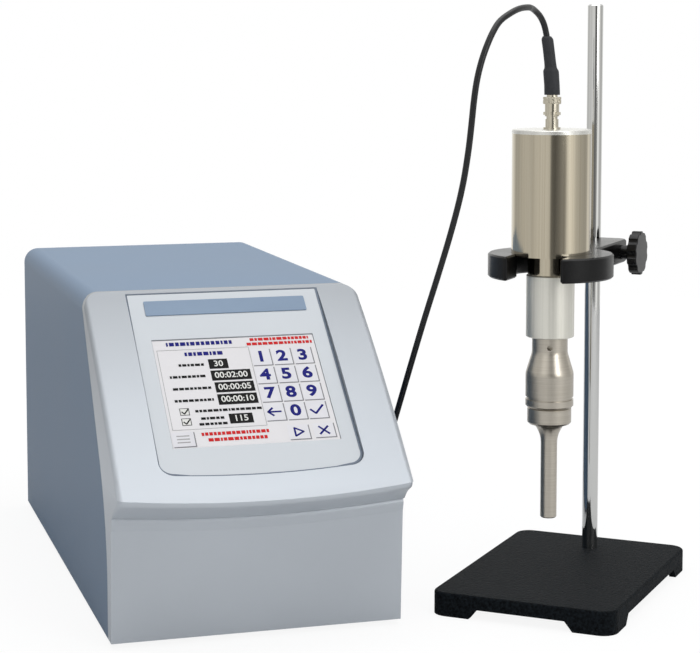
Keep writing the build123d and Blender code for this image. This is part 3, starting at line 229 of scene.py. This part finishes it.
clamp_gloss = surface("clamp_gloss", srgb(6, 6, 7), srgb(11, 11, 12), 0.3, 0.06, 0.0, 60, grain=1300,
                      bump=0.25, coat=0.08, coat_rough=0.12, specular=0.2)
housing_metal = surface("housing_metal", srgb(180, 171, 152), srgb(190, 182, 164), 0.1, 0.03, 1.0, 900,
                        (1, 1, 0.006), 1500, 0.05, depth=0.00003)
fastener = surface("fastener", srgb(150, 152, 155), srgb(170, 172, 175), 0.3, 0.06, 1.0, 300, grain=900,
                   bump=0.1)
ceramic = surface("ceramic", srgb(120, 108, 92), srgb(140, 128, 110), 0.45, 0.06, 0.0, 200, grain=1200,
                  bump=0.1)
electrode = surface("electrode", srgb(196, 160, 96), srgb(212, 178, 116), 0.28, 0.05, 1.0, 200, grain=800,
                    bump=0.08)
sleeve_metal = surface("sleeve_metal", srgb(216, 214, 204), srgb(228, 226, 217), 0.36, 0.04, 0.7, 700,
                       (1, 1, 0.006), 1500, 0.08, depth=0.00005)
horn_metal = surface("horn_metal", srgb(176, 169, 157), srgb(190, 184, 173), 0.3, 0.05, 0.93, 1100,
                     (0.02, 0.02, 1), 2200, 0.12, depth=0.00005)
nickel = surface("nickel", srgb(188, 181, 164), srgb(202, 196, 180), 0.16, 0.04, 1.0, 200, grain=900,
                 bump=0.06)
ink_blue = surface("ink_blue", srgb(22, 24, 112), srgb(26, 28, 120), 0.5, 0.04, 0.0, 50, grain=500,
                   bump=0.01, specular=0.1)
ink_red = surface("ink_red", srgb(200, 30, 32), srgb(208, 36, 38), 0.5, 0.04, 0.0, 50, grain=500, bump=0.01,
                  specular=0.1)
ink_black = surface("ink_black", srgb(5, 5, 6), srgb(9, 9, 10), 0.5, 0.04, 0.0, 50, grain=500, bump=0.01,
                    specular=0.1)
ink_grey = surface("ink_grey", srgb(150, 150, 150), srgb(158, 158, 158), 0.3, 0.04, 0.0, 50, grain=500,
                   bump=0.01)
ink_white = surface("ink_white", srgb(226, 226, 222), srgb(232, 232, 228), 0.5, 0.04, 0.0, 50, grain=500,
                    bump=0.01, specular=0.1)
key_face = surface("key_face", srgb(222, 221, 226), srgb(228, 227, 231), 0.4, 0.04, 0.0, 50, grain=500,
                   bump=0.01, specular=0.2)
key_shade = surface("key_shade", srgb(122, 122, 126), srgb(130, 130, 134), 0.4, 0.04, 0.0, 50, grain=500,
                    bump=0.01, specular=0.2)
# Grey of the ring in the plate's groove: painted shade of the groove
groove_shade_grey = surface("groove_shade_grey", srgb(104, 114, 128), srgb(112, 122, 136), 0.5, 0.06, 0.1, 30, grain=900,
                   bump=0.1, specular=0.3)
cap_satin = surface("cap_satin", srgb(214, 213, 207), srgb(226, 225, 220), 0.32, 0.05, 0.7, 300, grain=900,
                    bump=0.06)

NODE_MATERIALS = {
    bezel_paint: ["front_bezel"], cover_paint: ["wrap_cover"], plate_film: ["display_plate"],
    strip_film: ["header_strip"], steel_sheet: ["chassis_tray", "rear_panel", "fan_guard"],
    screen_light: ["touch_panel"], black_plastic: ["lcd_module", "fan_frame", "fan_rotor"],
    socket_black: ["mains_inlet", "fuse_drawer", "rocker_frame", "power_rocker"],
    board_green: ["control_board", "power_board"], spacer_metal: ["board_standoffs"],
    can_sleeve: ["bulk_capacitors"], ferrite: ["transformer_core"], winding_tape: ["transformer_coil"],
    extruded: ["heat_sink"], package_black: ["power_transistors"],
    rubber: ["rubber_feet", "isolation_rings", "coil_tie"],
    base_paint: ["stand_base"], chrome: ["support_rod"], clamp_gloss: ["clamp_body", "clamp_knob"],
    housing_metal: ["converter_housing"], cap_satin: ["housing_cap"],
    fastener: ["thumbscrew_stud", "stack_bolt", "upper_stud", "lower_stud", "retaining_ring", "back_mass"],
    ceramic: ["piezo_rings"], electrode: ["electrode_rings"],
    sleeve_metal: ["driver_sleeve", "front_driver"],
    horn_metal: ["upper_horn", "probe_horn", "replaceable_tip"],
    nickel: ["converter_jack", "converter_plug", "converter_collar", "output_jack", "output_plug",
             "output_collar", "remote_jack"],
    boot_rubber: ["converter_boot", "output_boot"],
    cable_skin: ["cable_arch", "cable_drop", "cable_rise", "cable_coil"],
}
for finish, names in NODE_MATERIALS.items():
    for name in names:
        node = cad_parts[name]
        node.data.materials.clear()
        node.data.materials.append(finish)


def piece(name, mesh, material, body):
    """New object of a mesh in the row frame, riding on a body."""
    obj = bpy.data.objects.new(name, mesh)
    bpy.context.scene.collection.objects.link(obj)
    mesh.materials.append(material)
    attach(obj, body)
    return obj


def bridge(bm, rings):
    """Quads from each ring of vertices to the next."""
    for low, high in zip(rings, rings[1:]):
        count = len(low)
        for i in range(count):
            j = (i + 1) % count
            bm.faces.new((low[i], low[j], high[j], high[i]))


def close_ends(bm, rings):
    bm.faces.new(list(reversed(rings[0])))
    bm.faces.new(rings[-1])


def finish_mesh(bm, name, smooth=True):
    bmesh.ops.recalc_face_normals(bm, faces=bm.faces)
    mesh = bpy.data.meshes.new(name)
    bm.to_mesh(mesh)
    bm.free()
    if smooth:
        mesh.polygons.foreach_set("use_smooth", [True] * len(mesh.polygons))
        mesh.set_sharp_from_angle(angle=radians(32))
    return mesh


def lathe(name, profile, place, turns, wave=None, lean=None):
    """Closed turned form from (radius, height) points in mm, on a placed axis that may lean over."""
    bm = bmesh.new()
    rings = []
    for radius, height in profile:
        ring = []
        aside = lean(height) if lean else Vector((0, 0, 0))
        for i in range(turns):
            a = 2 * pi * i / turns
            r = max(0.001, radius + (wave(i, radius, height) if wave else 0))
            ring.append(bm.verts.new(place @ Vector((r * cos(a), r * sin(a), height)) + aside))
        rings.append(ring)
    bridge(bm, rings)
    close_ends(bm, rings)
    return finish_mesh(bm, name)


# Cord: one free cable in three stretches, its route's points in the case's frame
arch_points = [
    (221.5, 20.6, 413.1), (220.1, 21.0, 423.4), (214.6, 17.2, 432.2), (206.9, 11.2, 437.0),
    (201.5, 5.0, 438.4), (198.7, 1.0, 438.3)]
drop_points = [
    (198.7, 1.0, 438.3), (194.6, -3.2, 438.3), (186.5, -10.0, 437.1), (178.3, -16.1, 434.1),
    (168.6, -20.5, 428.8), (162.1, -24.6, 421.3), (156.7, -27.4, 412.0), (152.2, -28.8, 401.3),
    (148.9, -29.0, 389.0), (147.1, -27.9, 374.7), (146.5, -24.9, 357.0), (146.0, -19.7, 336.1),
    (144.9, -11.3, 311.2), (141.9, 0.9, 282.4), (137.8, 16.7, 249.8), (133.1, 35.9, 213.1),
    (129.4, 57.0, 174.6), (126.4, 79.1, 136.5), (124.2, 101.2, 101.5), (122.4, 122.3, 72.0),
    (121.1, 142.4, 48.2), (120.1, 161.3, 30.0), (119.2, 178.7, 17.3), (118.6, 196.0, 8.3),
    (118.0, 215.0, 3.2), (117.4, 238.0, 2.4), (116.6, 276.0, 2.3), (117.4, 328.0, 2.35),
    (116.8, 378.0, 2.3), (117.6, 420.0, 2.35), (114.5, 447.0, 2.3), (101.0, 465.0, 2.35),
    (76.0, 471.0, 2.3), (44.0, 470.0, 2.4)]
rise_points = [
    (6.0, 541.2, 4.0), (19.0, 544.5, 6.5), (31.0, 546.0, 13.0), (42.0, 544.0, 22.5),
    (51.0, 538.0, 34.0), (56.5, 527.5, 44.0), (58.0, 514.5, 50.0), (58.0, 500.6, 50.0)]
COIL_MIDDLE = (10, 505)
COIL_ENTRY = 276.6
COIL_FIRST = 6.0
COIL_STEP = 30.0
COIL_POINTS = 42


def coil_turns():
    """Spare cable behind the case: in under the turns, two up inside, one down outside, then out.

    Its stations are (degrees swept, radius, height).
    """
    stations = [(0, 33.7, 3.0), (96.6, 25.7, 3.05), (816.6, 25.7, 12.15), (886.6, 30.3, 12.15),
                (1176.0, 30.3, 8.4), (1236.0, 34.0, 5.0)]
    points = []
    for step in range(COIL_POINTS):
        sweep = COIL_FIRST + COIL_STEP * step
        for (a, r0, z0), (b, r1, z1) in zip(stations, stations[1:]):
            if a <= sweep <= b:
                t = (sweep - a) / (b - a)
                r = (r0 + (r1 - r0) * t) / cos(radians(COIL_STEP / 2))
                angle = radians(COIL_ENTRY - sweep)
                x, y = COIL_MIDDLE
                points.append((x + r * cos(angle), y + r * sin(angle), z0 + (z1 - z0) * t))
                break
    return points


CORD_RADIUS = 2.25
CORD_SIDES = 16


def nurbs(name, points):
    """Round cord whose smooth line has the route's points as its control points."""
    curve = bpy.data.curves.new(name, "CURVE")
    curve.dimensions = "3D"
    curve.bevel_depth = CORD_RADIUS * MM
    curve.bevel_resolution = 6
    curve.use_fill_caps = True
    spline = curve.splines.new("NURBS")
    spline.points.add(len(points) - 1)
    for target, p in zip(spline.points, points):
        target.co = (*case_point(*p), 1)
    spline.order_u = 3
    spline.use_endpoint_u = True
    spline.resolution_u = 10
    curve.materials.append(cable_skin)
    obj = bpy.data.objects.new(name, curve)
    bpy.context.scene.collection.objects.link(obj)
    return obj


def followed(obj):
    """Close points on a cord's own smooth line."""
    bevel = obj.data.bevel_depth
    obj.data.bevel_depth = 0
    bpy.context.view_layer.update()
    mesh = bpy.data.meshes.new_from_object(obj.evaluated_get(bpy.context.evaluated_depsgraph_get()))
    line = [v.co.copy() for v in mesh.vertices]
    bpy.data.meshes.remove(mesh)
    obj.data.bevel_depth = bevel
    return line


def line_length(line):
    return sum((q - p).length for p, q in zip(line, line[1:]))


def tube(name, line):
    """Round closed tube along close points."""
    bm = bmesh.new()
    rings = []
    across = Vector((1, 0, 0))
    angles = [2 * pi * k / CORD_SIDES for k in range(CORD_SIDES)]
    for i, p in enumerate(line):
        along = (line[min(i + 1, len(line) - 1)] - line[max(i - 1, 0)]).normalized()
        across = (across - along * across.dot(along)).normalized()
        other = along.cross(across)
        ring = [p + (across * cos(a) + other * sin(a)) * (CORD_RADIUS * MM) for a in angles]
        rings.append([bm.verts.new(place) for place in ring])
    bridge(bm, rings)
    close_ends(bm, rings)
    mesh = finish_mesh(bm, name)
    mesh.materials.append(cable_skin)
    obj = bpy.data.objects.new(name, mesh)
    bpy.context.scene.collection.objects.link(obj)
    return obj


# The arch rides on the clamp; the rest of the cable is split into an upper and a lower stretch at this
# height;
# these measures are in metres
SPLIT_HEIGHT = 0.25
arch = nurbs("cable_arch_line", arch_points)
arch_length = line_length(followed(arch))
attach(arch, "clamp")
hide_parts("cable_arch")
route = nurbs("route", drop_points + coil_turns() + rise_points)
drop_line = followed(route)
bpy.data.objects.remove(route)
split = next(i for i, p in enumerate(drop_line) if p.z < SPLIT_HEIGHT)
upper_line, lower_line = drop_line[:split + 1], drop_line[split:]
upper = tube("cable_upper_drop", upper_line)
lower = tube("cable_lower_drop", lower_line)
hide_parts("cable_drop", "cable_coil", "cable_rise")
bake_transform(upper)
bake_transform(lower)
for stretch in (arch, upper, lower):
    # Not mirrored in the polished metal
    stretch.visible_glossy = False

# Moulded boots over the plugs, with a soft shoulder and a tapered mouth
BOOT_START = 26
BOOT_BEND = 37.5
BOOT_TIP = Vector((-3.5, 1.0, 0))
boot_profile = [
    (4.1, 24.9), (5.55, 24.9), (5.7, 25.3), (5.62, 32.0), (5.7, 41.6), (5.45, 42.6), (4.75, 43.9),
    (4.45, 45.0), (4.3, 48.0), (4.25, 58.0), (4.3, 64.4), (4.1, 65.4), (3.3, 66.7), (3.0, 67.1),
    (2.35, 67.1), (2.35, 63.0)]


def boot_lean(height):
    """The upper boot leans over with the cable, more towards its tip."""
    return BOOT_TIP * MM * (max(0, height - BOOT_START) / BOOT_BEND) ** 1.5


for port, body, node, lean in ((TOP_PORT, "clamp", "converter_boot", boot_lean),
                               (PANEL_PORT, "bench", "output_boot", None)):
    mesh = lathe(node + "_skin", boot_profile, placed_mm(port), 40, lean=lean)
    boot = piece(node + "_skin", mesh, boot_rubber, body)
    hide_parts(node)

# Knurled grips on both bayonet collars
GRIP = 6.35
knurl_profile = [
    (6.2, 18.45), (6.42, 18.7), (6.42, 21.0), (6.3, 21.15), (6.3, 21.45), (6.42, 21.6), (6.42, 23.2),
    (6.2, 23.4)]


def teeth(i, radius, height):
    return 0.16 if i % 4 < 2 and radius > GRIP else 0.0


for port, body, node in ((TOP_PORT, "converter_ring", "converter_collar"),
                         (PANEL_PORT, "output_ring", "output_collar")):
    mesh = lathe(node + "_knurl", knurl_profile, placed_mm(port), 160, teeth)
    piece(node + "_knurl", mesh, nickel, body)

# Grey step in the groove round the display plate, its darker grey painted shade of the groove
PLATE_HALF = 71.5
PLATE_TOP = -4.0
PLATE_FOOT = -169.0
PLATE_SAG = 3.88
PLATE_CORNER = 10.0
CORNER_STEPS = 8
FOOT_STEPS = 12


def plate_rim(extra):
    """Plate's outline on the face, grown all round by extra."""
    half, corner = PLATE_HALF + extra, PLATE_CORNER + extra
    top, foot = PLATE_TOP + extra, PLATE_FOOT - extra
    inner = half - corner
    points = [(half, top), (-half, top)]
    for i in range(CORNER_STEPS + 1):
        angle = pi + pi / 2 * i / CORNER_STEPS
        points.append((corner - half + corner * cos(angle), foot + corner + corner * sin(angle)))
    for i in range(1, FOOT_STEPS):
        x = -inner + 2 * inner * i / FOOT_STEPS
        points.append((x, foot - PLATE_SAG * (1 - (x / half) ** 2)))
    for i in range(CORNER_STEPS + 1):
        angle = 1.5 * pi + pi / 2 * i / CORNER_STEPS
        points.append((half - corner + corner * cos(angle), foot + corner + corner * sin(angle)))
    return points


def groove_shade_ring():
    """Closed ring round the plate whose grey is painted groove shade, its section given as (growth, shift
    aside, height above the face).
    """
    section = [(0.05, 0, -1.9), (-0.25, 0.45, 0.1), (0.4, 0, 0.22), (1.15, 0, 0.1), (1.15, 0, -1.9)]
    bm = bmesh.new()
    place = placed_mm(FACE)
    rings = []
    for extra, aside, h in section:
        rings.append([bm.verts.new(place @ Vector((x - aside, y + aside, h))) for x, y in plate_rim(extra)])
    bridge(bm, rings + rings[:1])
    return finish_mesh(bm, "plate_groove_shade", False)


piece("plate_groove_shade", groove_shade_ring(), groove_shade_grey, "bench")

# Soft cove from the lip's front edge down to the lower face, with a faint shoulder at its foot
# lip_band is (way back, drop) from the lip, shoulder and slot_back (depth in the case, drop)
HALF = 104.0
DROOP = 5.0
LIP_OUT = -36.9
LIP_HEIGHT = 105.3
BAND_END = -8.3
EDGE_ROUND = 4.0
END_GAP = 0.02
lip_band = [(0.15, -0.05), (0.35, -1.2), (0.9, -2.6), (2.3, -4.0), (5.2, -5.4), (10.0, -7.2), (16.0, -9.6),
            (21.5, -12.2), (25.5, -14.6), (28.6, -16.6)]
shoulder = [(-5.2, -17.8), (-5.75, -18.9), (-5.95, -20.0), (-5.8, -21.6), (-5.3, -23.6), (-4.5, -26.0)]
slot_back = [(4.0, -26.0), (4.0, -END_GAP), (-20.0, -END_GAP)]


def cove_section(x):
    """Closed outline at x, as (depth, height) in mm in the case's frame."""
    share = (x / HALF) ** 2
    near = max(0.0, EDGE_ROUND - (HALF - abs(x)))
    inset = (EDGE_ROUND - (EDGE_ROUND ** 2 - near ** 2) ** 0.5) / sin(SLOPE)
    front = LIP_OUT + DROOP / tan(SLOPE) * share + inset
    level = LIP_HEIGHT + DROOP * share
    squeeze = (BAND_END - front) / lip_band[-1][0]
    curve = [(front + out * squeeze, level + drop) for out, drop in lip_band]
    return curve + [(y, level + drop) for y, drop in shoulder + slot_back]


def cove():
    """Closed sweep of the section over the case's width, with close stations at the rounded ends."""
    end = [-HALF + END_GAP + step for step in (0, 0.5, 1.2, 2.2, 3.8)]
    stations = end + [-96 + 8 * i for i in range(25)] + [-x for x in reversed(end)]
    bm = bmesh.new()
    rings = [[bm.verts.new(case_point(x, y, z)) for y, z in cove_section(x)] for x in stations]
    bridge(bm, rings)
    close_ends(bm, rings)
    return finish_mesh(bm, "lip_cove")


piece("lip_cove", cove(), bezel_paint, "bench")

# Rear panel screws: flanged pan heads with a lobed socket
screw_profile = [(0.2, -0.3), (3.4, -0.3), (3.5, 0.0), (3.4, 0.35), (3.0, 0.5), (2.85, 1.0), (2.3, 1.5),
                 (1.6, 1.75), (1.3, 1.75), (1.25, 0.7), (0.2, 0.7)]
PANEL_EDGE = 0.0075
SCREW_STEPS = 48
SOCKET = 1.4


def lobes(i, radius, height):
    return 0.2 * cos(6 * 2 * pi * i / SCREW_STEPS) if radius < SOCKET and height > 0.5 else 0.0


screw_sides = (panel_low.x + PANEL_EDGE, panel_high.x - PANEL_EDGE)
screw_levels = (panel_low.z + PANEL_EDGE, panel_high.z - PANEL_EDGE)
for index, (x, z) in enumerate([(side, level) for side in screw_sides for level in screw_levels]):
    name = "panel_screw_" + str(index + 1)
    place = Matrix.Translation((x, panel_high.y, z)) @ Matrix.Rotation(-pi / 2, 4, "X")
    piece(name, lathe(name, screw_profile, placed_mm(place), SCREW_STEPS, lobes), fastener, "bench")

# Screen picture: plain numbers, bars and simple signs, in layers that lie thinly on the glass. Places on it
# are (x, s): across from the middle of the face and down its slope.
FACE_MM = placed_mm(FACE)
GLASS = -0.6
SHADE, FRAME, KEY, FIELD, INK, TICK = (GLASS + rise for rise in (0.05, 0.08, 0.1, 0.12, 0.14, 0.16))
TILE_THICK = 0.04
PEN_THICK = 0.03


def flat_piece(name, material):
    return {"name": name, "bm": bmesh.new(), "material": material}


def add_tile(layer, corners, h, thick):
    """Thin tile between flat corners (x, s), its top h above the face."""
    bm = layer["bm"]
    low, high = ([bm.verts.new(FACE_MM @ Vector((x, -s, z))) for x, s in corners] for z in (h - thick, h))
    bm.faces.new(high)
    bm.faces.new(list(reversed(low)))
    bridge(bm, [low, high])


def add_box(layer, x0, s0, x1, s1, h):
    add_tile(layer, ((x0, s1), (x1, s1), (x1, s0), (x0, s0)), h, TILE_THICK)


def add_strokes(layer, points, width, h=INK):
    """Broad pen line through flat points (x, s)."""
    for (x0, s0), (x1, s1) in zip(points, points[1:]):
        along = Vector((x1 - x0, s1 - s0, 0)).normalized()
        side = Vector((-along.y, along.x, 0)) * width / 2
        ends = [Vector((x0, s0, 0)) - along * width / 4, Vector((x1, s1, 0)) + along * width / 4]
        corners = [ends[0] + side, ends[1] + side, ends[1] - side, ends[0] - side]
        add_tile(layer, [(p.x, p.y) for p in corners], h, PEN_THICK)


def add_text(layer, body, x, s, size, bold, wide):
    """Plain number, centred on (x, s), as flat raised glyphs."""
    curve = bpy.data.curves.new("glyph", "FONT")
    curve.body = body
    curve.size = size
    curve.align_x = "CENTER"
    curve.align_y = "CENTER"
    curve.extrude = 0.02
    curve.offset = bold
    curve.resolution_u = 4
    obj = bpy.data.objects.new("glyph", curve)
    bpy.context.scene.collection.objects.link(obj)
    bpy.context.view_layer.update()
    mesh = bpy.data.meshes.new_from_object(obj.evaluated_get(bpy.context.evaluated_depsgraph_get()))
    mesh.transform(FACE_MM @ Matrix.Translation((x, -s, INK)) @ Matrix.Diagonal((wide, 1, 1, 1)))
    layer["bm"].from_mesh(mesh)
    bpy.data.objects.remove(obj)
    bpy.data.curves.remove(curve)
    bpy.data.meshes.remove(mesh)


def add_bars(layer, x0, x1, s, tall, seed, gap=0.7):
    """Row of short bars of uneven width, which follow from the seed."""
    x = x0
    k = seed
    while x < x1 - 0.8:
        k = (k * 37 + 11) % 97
        width = 1.3 + 2.6 * k / 97
        add_box(layer, x, s - tall / 2, min(x + width, x1), s + tall / 2, INK)
        x += width + gap


def add_key(x, s, wide=14.2, tall=15.2):
    left, right, above, below = x - wide / 2, x + wide / 2, s - tall / 2, s + tall / 2
    add_box(shades, left + 0.4, above + 0.4, right + 0.8, below + 0.9, SHADE)
    add_box(keys, left, above, right, below, KEY)


def close_layer(layer):
    mesh = bpy.data.meshes.new(layer["name"])
    layer["bm"].to_mesh(mesh)
    layer["bm"].free()
    piece(layer["name"], mesh, layer["material"], "bench")


keys = flat_piece("screen_keys", key_face)
shades = flat_piece("screen_key_shades", key_shade)
blue = flat_piece("screen_blue", ink_blue)
red = flat_piece("screen_red", ink_red)
black = flat_piece("screen_black", ink_black)
white = flat_piece("screen_white", ink_white)
grey = flat_piece("screen_grey", ink_grey)

# Number pad and the three wider keys below it and at the left
columns = (17.3, 32.8, 48.3)
rows = (68, 85, 102, 119)
pad = [(columns[i % 3], rows[i // 3]) for i in range(9)] + [(columns[1], rows[3])]
for number, (x, s) in zip("1234567890", pad):
    add_key(x, s)
    add_text(blue, number, x, s, 13.6, 0.5, 1.12)
for x in (columns[0], columns[2]):
    add_key(x, rows[3])
for x, s, wide, tall in ((31, 138, 15.0, 12.4), (49.5, 137.6, 15.0, 12.4), (-51.3, 138.8, 15.5, 12.6)):
    add_key(x, s, wide, tall)

# Signs on the other keys: a back arrow, a tick, a triangle, a cross and three lines
for points, width in (([(12.6, 119), (22.0, 119)], 1.5),
                      ([(16.2, 115.6), (12.6, 119), (16.2, 122.4)], 1.5),
                      ([(43.6, 118.8), (47.0, 122.4), (53.2, 115.2)], 1.6),
                      ([(28.4, 134.4), (28.4, 141.6), (34.6, 138), (28.4, 134.4)], 1.4),
                      ([(46.2, 134.4), (52.8, 141.0)], 1.5),
                      ([(52.8, 134.4), (46.2, 141.0)], 1.5)):
    add_strokes(blue, points, width)
for s in (136.0, 138.8, 141.6):
    add_strokes(grey, [(-55.6, s), (-47.0, s)], 1.0)

# Bars, values on dark fields, tick boxes and the frame round the settings
add_bars(blue, -50, -1, 52.6, 3.4, 5, 0.9)
add_bars(blue, -38, -10, 62.4, 3.4, 29, 0.9)
for x0, x1, s, tall, seed in ((12, 56, 51.2, 2.6, 17), (9, 58, 55.4, 2.6, 41), (-38, 10, 135.4, 2.8, 71),
                              (-34, 8, 140.6, 2.8, 23)):
    add_bars(red, x0, x1, s, tall, seed)
for x0, x1, s, seed in ((-44, -25, 72.6, 3), (-52, -25, 83.2, 13), (-51.5, -24, 94.2, 31),
                        (-52, -24, 105, 53), (-39, 10, 114.8, 61), (-36, -18, 121.6, 7),
                        (-38, -18, 126.6, 91)):
    add_bars(black, x0, x1, s, 2.2, seed)
for x0, s0, x1, s1, number in ((-22, 68, -8, 77, "30"), (-22, 78.6, 7, 88, "00:02:00"),
                               (-21, 89.6, 7.4, 99, "00:00:05"), (-21, 100.6, 7.6, 110.2, "00:00:10"),
                               (-16, 118.6, 1, 127.4, "115")):
    add_box(black, x0, s0, x1, s1, KEY)
    add_text(white, number, (x0 + x1) / 2, (s0 + s1) / 2, 7.4, 0.12, 0.95)
for s in (114.8, 123.8):
    add_box(black, -50.0, s - 3.2, -43.2, s + 3.2, FRAME)
    add_box(white, -49.5, s - 2.7, -43.7, s + 2.7, FIELD)
    add_strokes(black, [(-48.6, s), (-46.9, s + 1.9), (-43.8, s - 2.2)], 1.0, TICK)
add_strokes(grey, [(-57.5, 58.0), (9.6, 58.0), (9.6, 130.6), (-57.5, 130.6), (-57.5, 58.0)], 0.35)
for layer in (keys, shades, blue, red, black, white, grey):
    close_layer(layer)

# Round floor that takes soft shadows near the object and is plain white further out, in metres
FLOOR_RADIUS = 1.7
FLOOR_SIDES = 96
SHADOW_END = 0.35
WHITE_START = 1.3
WHITE_SHARE = 0.86
floor_mesh = bpy.data.meshes.new("floor")
angles = [2 * pi * i / FLOOR_SIDES for i in range(FLOOR_SIDES)]
rim = [(FLOOR_RADIUS * cos(angle), FLOOR_RADIUS * sin(angle), 0) for angle in angles]
floor_mesh.from_pydata(rim, [], [tuple(range(FLOOR_SIDES))])
floor = bpy.data.objects.new("floor", floor_mesh)
bpy.context.scene.collection.objects.link(floor)
floor_paint = bpy.data.materials.new("floor_paint")
floor_paint.use_nodes = True
nodes, links = floor_paint.node_tree.nodes, floor_paint.node_tree.links
shader = nodes["Principled BSDF"]
shader.inputs["Base Color"].default_value = (0.9, 0.9, 0.9, 1)
shader.inputs["Roughness"].default_value = 0.9
shader.inputs["Specular IOR Level"].default_value = 0.1
glow = nodes.new("ShaderNodeEmission")
glow.inputs["Color"].default_value = (1, 1, 1, 1)
glow.inputs["Strength"].default_value = 1.04
rays = nodes.new("ShaderNodeLightPath")
spot = nodes.new("ShaderNodeTexCoord")
away = nodes.new("ShaderNodeVectorMath")
away.operation = "LENGTH"
links.new(spot.outputs["Object"], away.inputs[0])
open_floor = nodes.new("ShaderNodeMapRange")
open_floor.inputs["From Min"].default_value = SHADOW_END
open_floor.inputs["From Max"].default_value = WHITE_START
open_floor.inputs["To Min"].default_value = WHITE_SHARE
links.new(away.outputs["Value"], open_floor.inputs["Value"])
share = nodes.new("ShaderNodeMath")
share.operation = "MULTIPLY"
links.new(open_floor.outputs["Result"], share.inputs[1])
links.new(rays.outputs["Is Camera Ray"], share.inputs[0])
mix = nodes.new("ShaderNodeMixShader")
links.new(share.outputs[0], mix.inputs["Fac"])
links.new(shader.outputs[0], mix.inputs[1])
links.new(glow.outputs[0], mix.inputs[2])
links.new(mix.outputs[0], nodes["Material Output"].inputs["Surface"])
floor_mesh.materials.append(floor_paint)

# World: white to the camera, bright and dark cards by bearing to mirrors, an even grey to the rest
CARD_TURN = 67.4
CARD_WARMTH = 0.985
CARD_TOP = (0.35, 0.7)
cards = [
    (-67, 0.85), (-59, 0.78), (-40, 0.95), (-14, 0.96), (-5, 0.92), (-1, 0.32), (3, 0.2), (11, 0.17),
    (20, 0.25), (29, 0.38), (38, 0.42), (42, 0.55), (47, 1.09), (56, 1.4), (66, 1.23), (76, 0.89),
    (87, 0.74), (100, 0.66), (114, 0.6), (122, 0.62), (132, 1.17), (146, 0.8), (160, 0.75), (180, 1.2),
    (210, 1.15), (220, 1.06), (236, 0.66), (256, 0.73), (269, 0.85), (292.6, 0.85)]
world = bpy.data.worlds.new("studio")
bpy.context.scene.world = world
world.use_nodes = True
nodes, links = world.node_tree.nodes, world.node_tree.links
nodes.clear()
way = nodes.new("ShaderNodeTexCoord")
split = nodes.new("ShaderNodeSeparateXYZ")
links.new(way.outputs["Generated"], split.inputs[0])
turn = nodes.new("ShaderNodeMath")
turn.operation = "ARCTAN2"
links.new(split.outputs["Y"], turn.inputs[0])
links.new(split.outputs["X"], turn.inputs[1])
scaled = nodes.new("ShaderNodeMapRange")
scaled.inputs["From Min"].default_value = -pi
scaled.inputs["From Max"].default_value = pi
links.new(turn.outputs[0], scaled.inputs["Value"])
ramp = nodes.new("ShaderNodeValToRGB")
elements = ramp.color_ramp.elements
elements[0].position = (CARD_TURN + cards[0][0]) / 360
for bearing, _ in cards[1:-1]:
    elements.new((CARD_TURN + bearing) / 360)
for element, (_, value) in zip(elements, cards):
    element.color = (value, value, value * CARD_WARMTH, 1)
links.new(scaled.outputs[0], ramp.inputs[0])
high = nodes.new("ShaderNodeMapRange")
high.inputs["From Min"].default_value, high.inputs["From Max"].default_value = CARD_TOP
links.new(split.outputs["Z"], high.inputs["Value"])
blend = nodes.new("ShaderNodeMix")
blend.data_type = "RGBA"
links.new(high.outputs[0], blend.inputs["Factor"])
links.new(ramp.outputs["Color"], blend.inputs["A"])
blend.inputs["B"].default_value = (1, 1, 1, 1)
glossy = nodes.new("ShaderNodeBackground")
links.new(blend.outputs["Result"], glossy.inputs["Color"])
glossy.inputs["Strength"].default_value = 0.95
plain = nodes.new("ShaderNodeBackground")
plain.inputs["Color"].default_value = (0.96, 0.98, 1, 1)
plain.inputs["Strength"].default_value = 0.42
white_world = nodes.new("ShaderNodeBackground")
white_world.inputs["Color"].default_value = (1, 1, 1, 1)
rays = nodes.new("ShaderNodeLightPath")
first_mix = nodes.new("ShaderNodeMixShader")
links.new(rays.outputs["Is Glossy Ray"], first_mix.inputs["Fac"])
links.new(plain.outputs[0], first_mix.inputs[1])
links.new(glossy.outputs[0], first_mix.inputs[2])
second_mix = nodes.new("ShaderNodeMixShader")
links.new(rays.outputs["Is Camera Ray"], second_mix.inputs["Fac"])
links.new(first_mix.outputs[0], second_mix.inputs[1])
links.new(white_world.outputs[0], second_mix.inputs[2])
out = nodes.new("ShaderNodeOutputWorld")
links.new(second_mix.outputs[0], out.inputs["Surface"])


def lamp(name, place, target, size, power):
    data = bpy.data.lights.new(name, "AREA")
    data.shape = "RECTANGLE"
    data.size, data.size_y = size
    data.energy = power
    obj = bpy.data.objects.new(name, data)
    bpy.context.scene.collection.objects.link(obj)
    obj.location = place
    obj.rotation_euler = (Vector(target) - Vector(place)).to_track_quat("-Z", "Y").to_euler()


lamp("lamp_top", (0.1, -0.1, 2.2), (0, 0, 0.1), (2.2, 2.2), 27)
lamp("lamp_left", (-2.0, -1.8, 1.3), (0, 0, 0.15), (1.2, 1.4), 2)
lamp("lamp_front", (0.9, -2.4, 1.0), (0.0, -0.1, 0.15), (0.9, 1.4), 14)
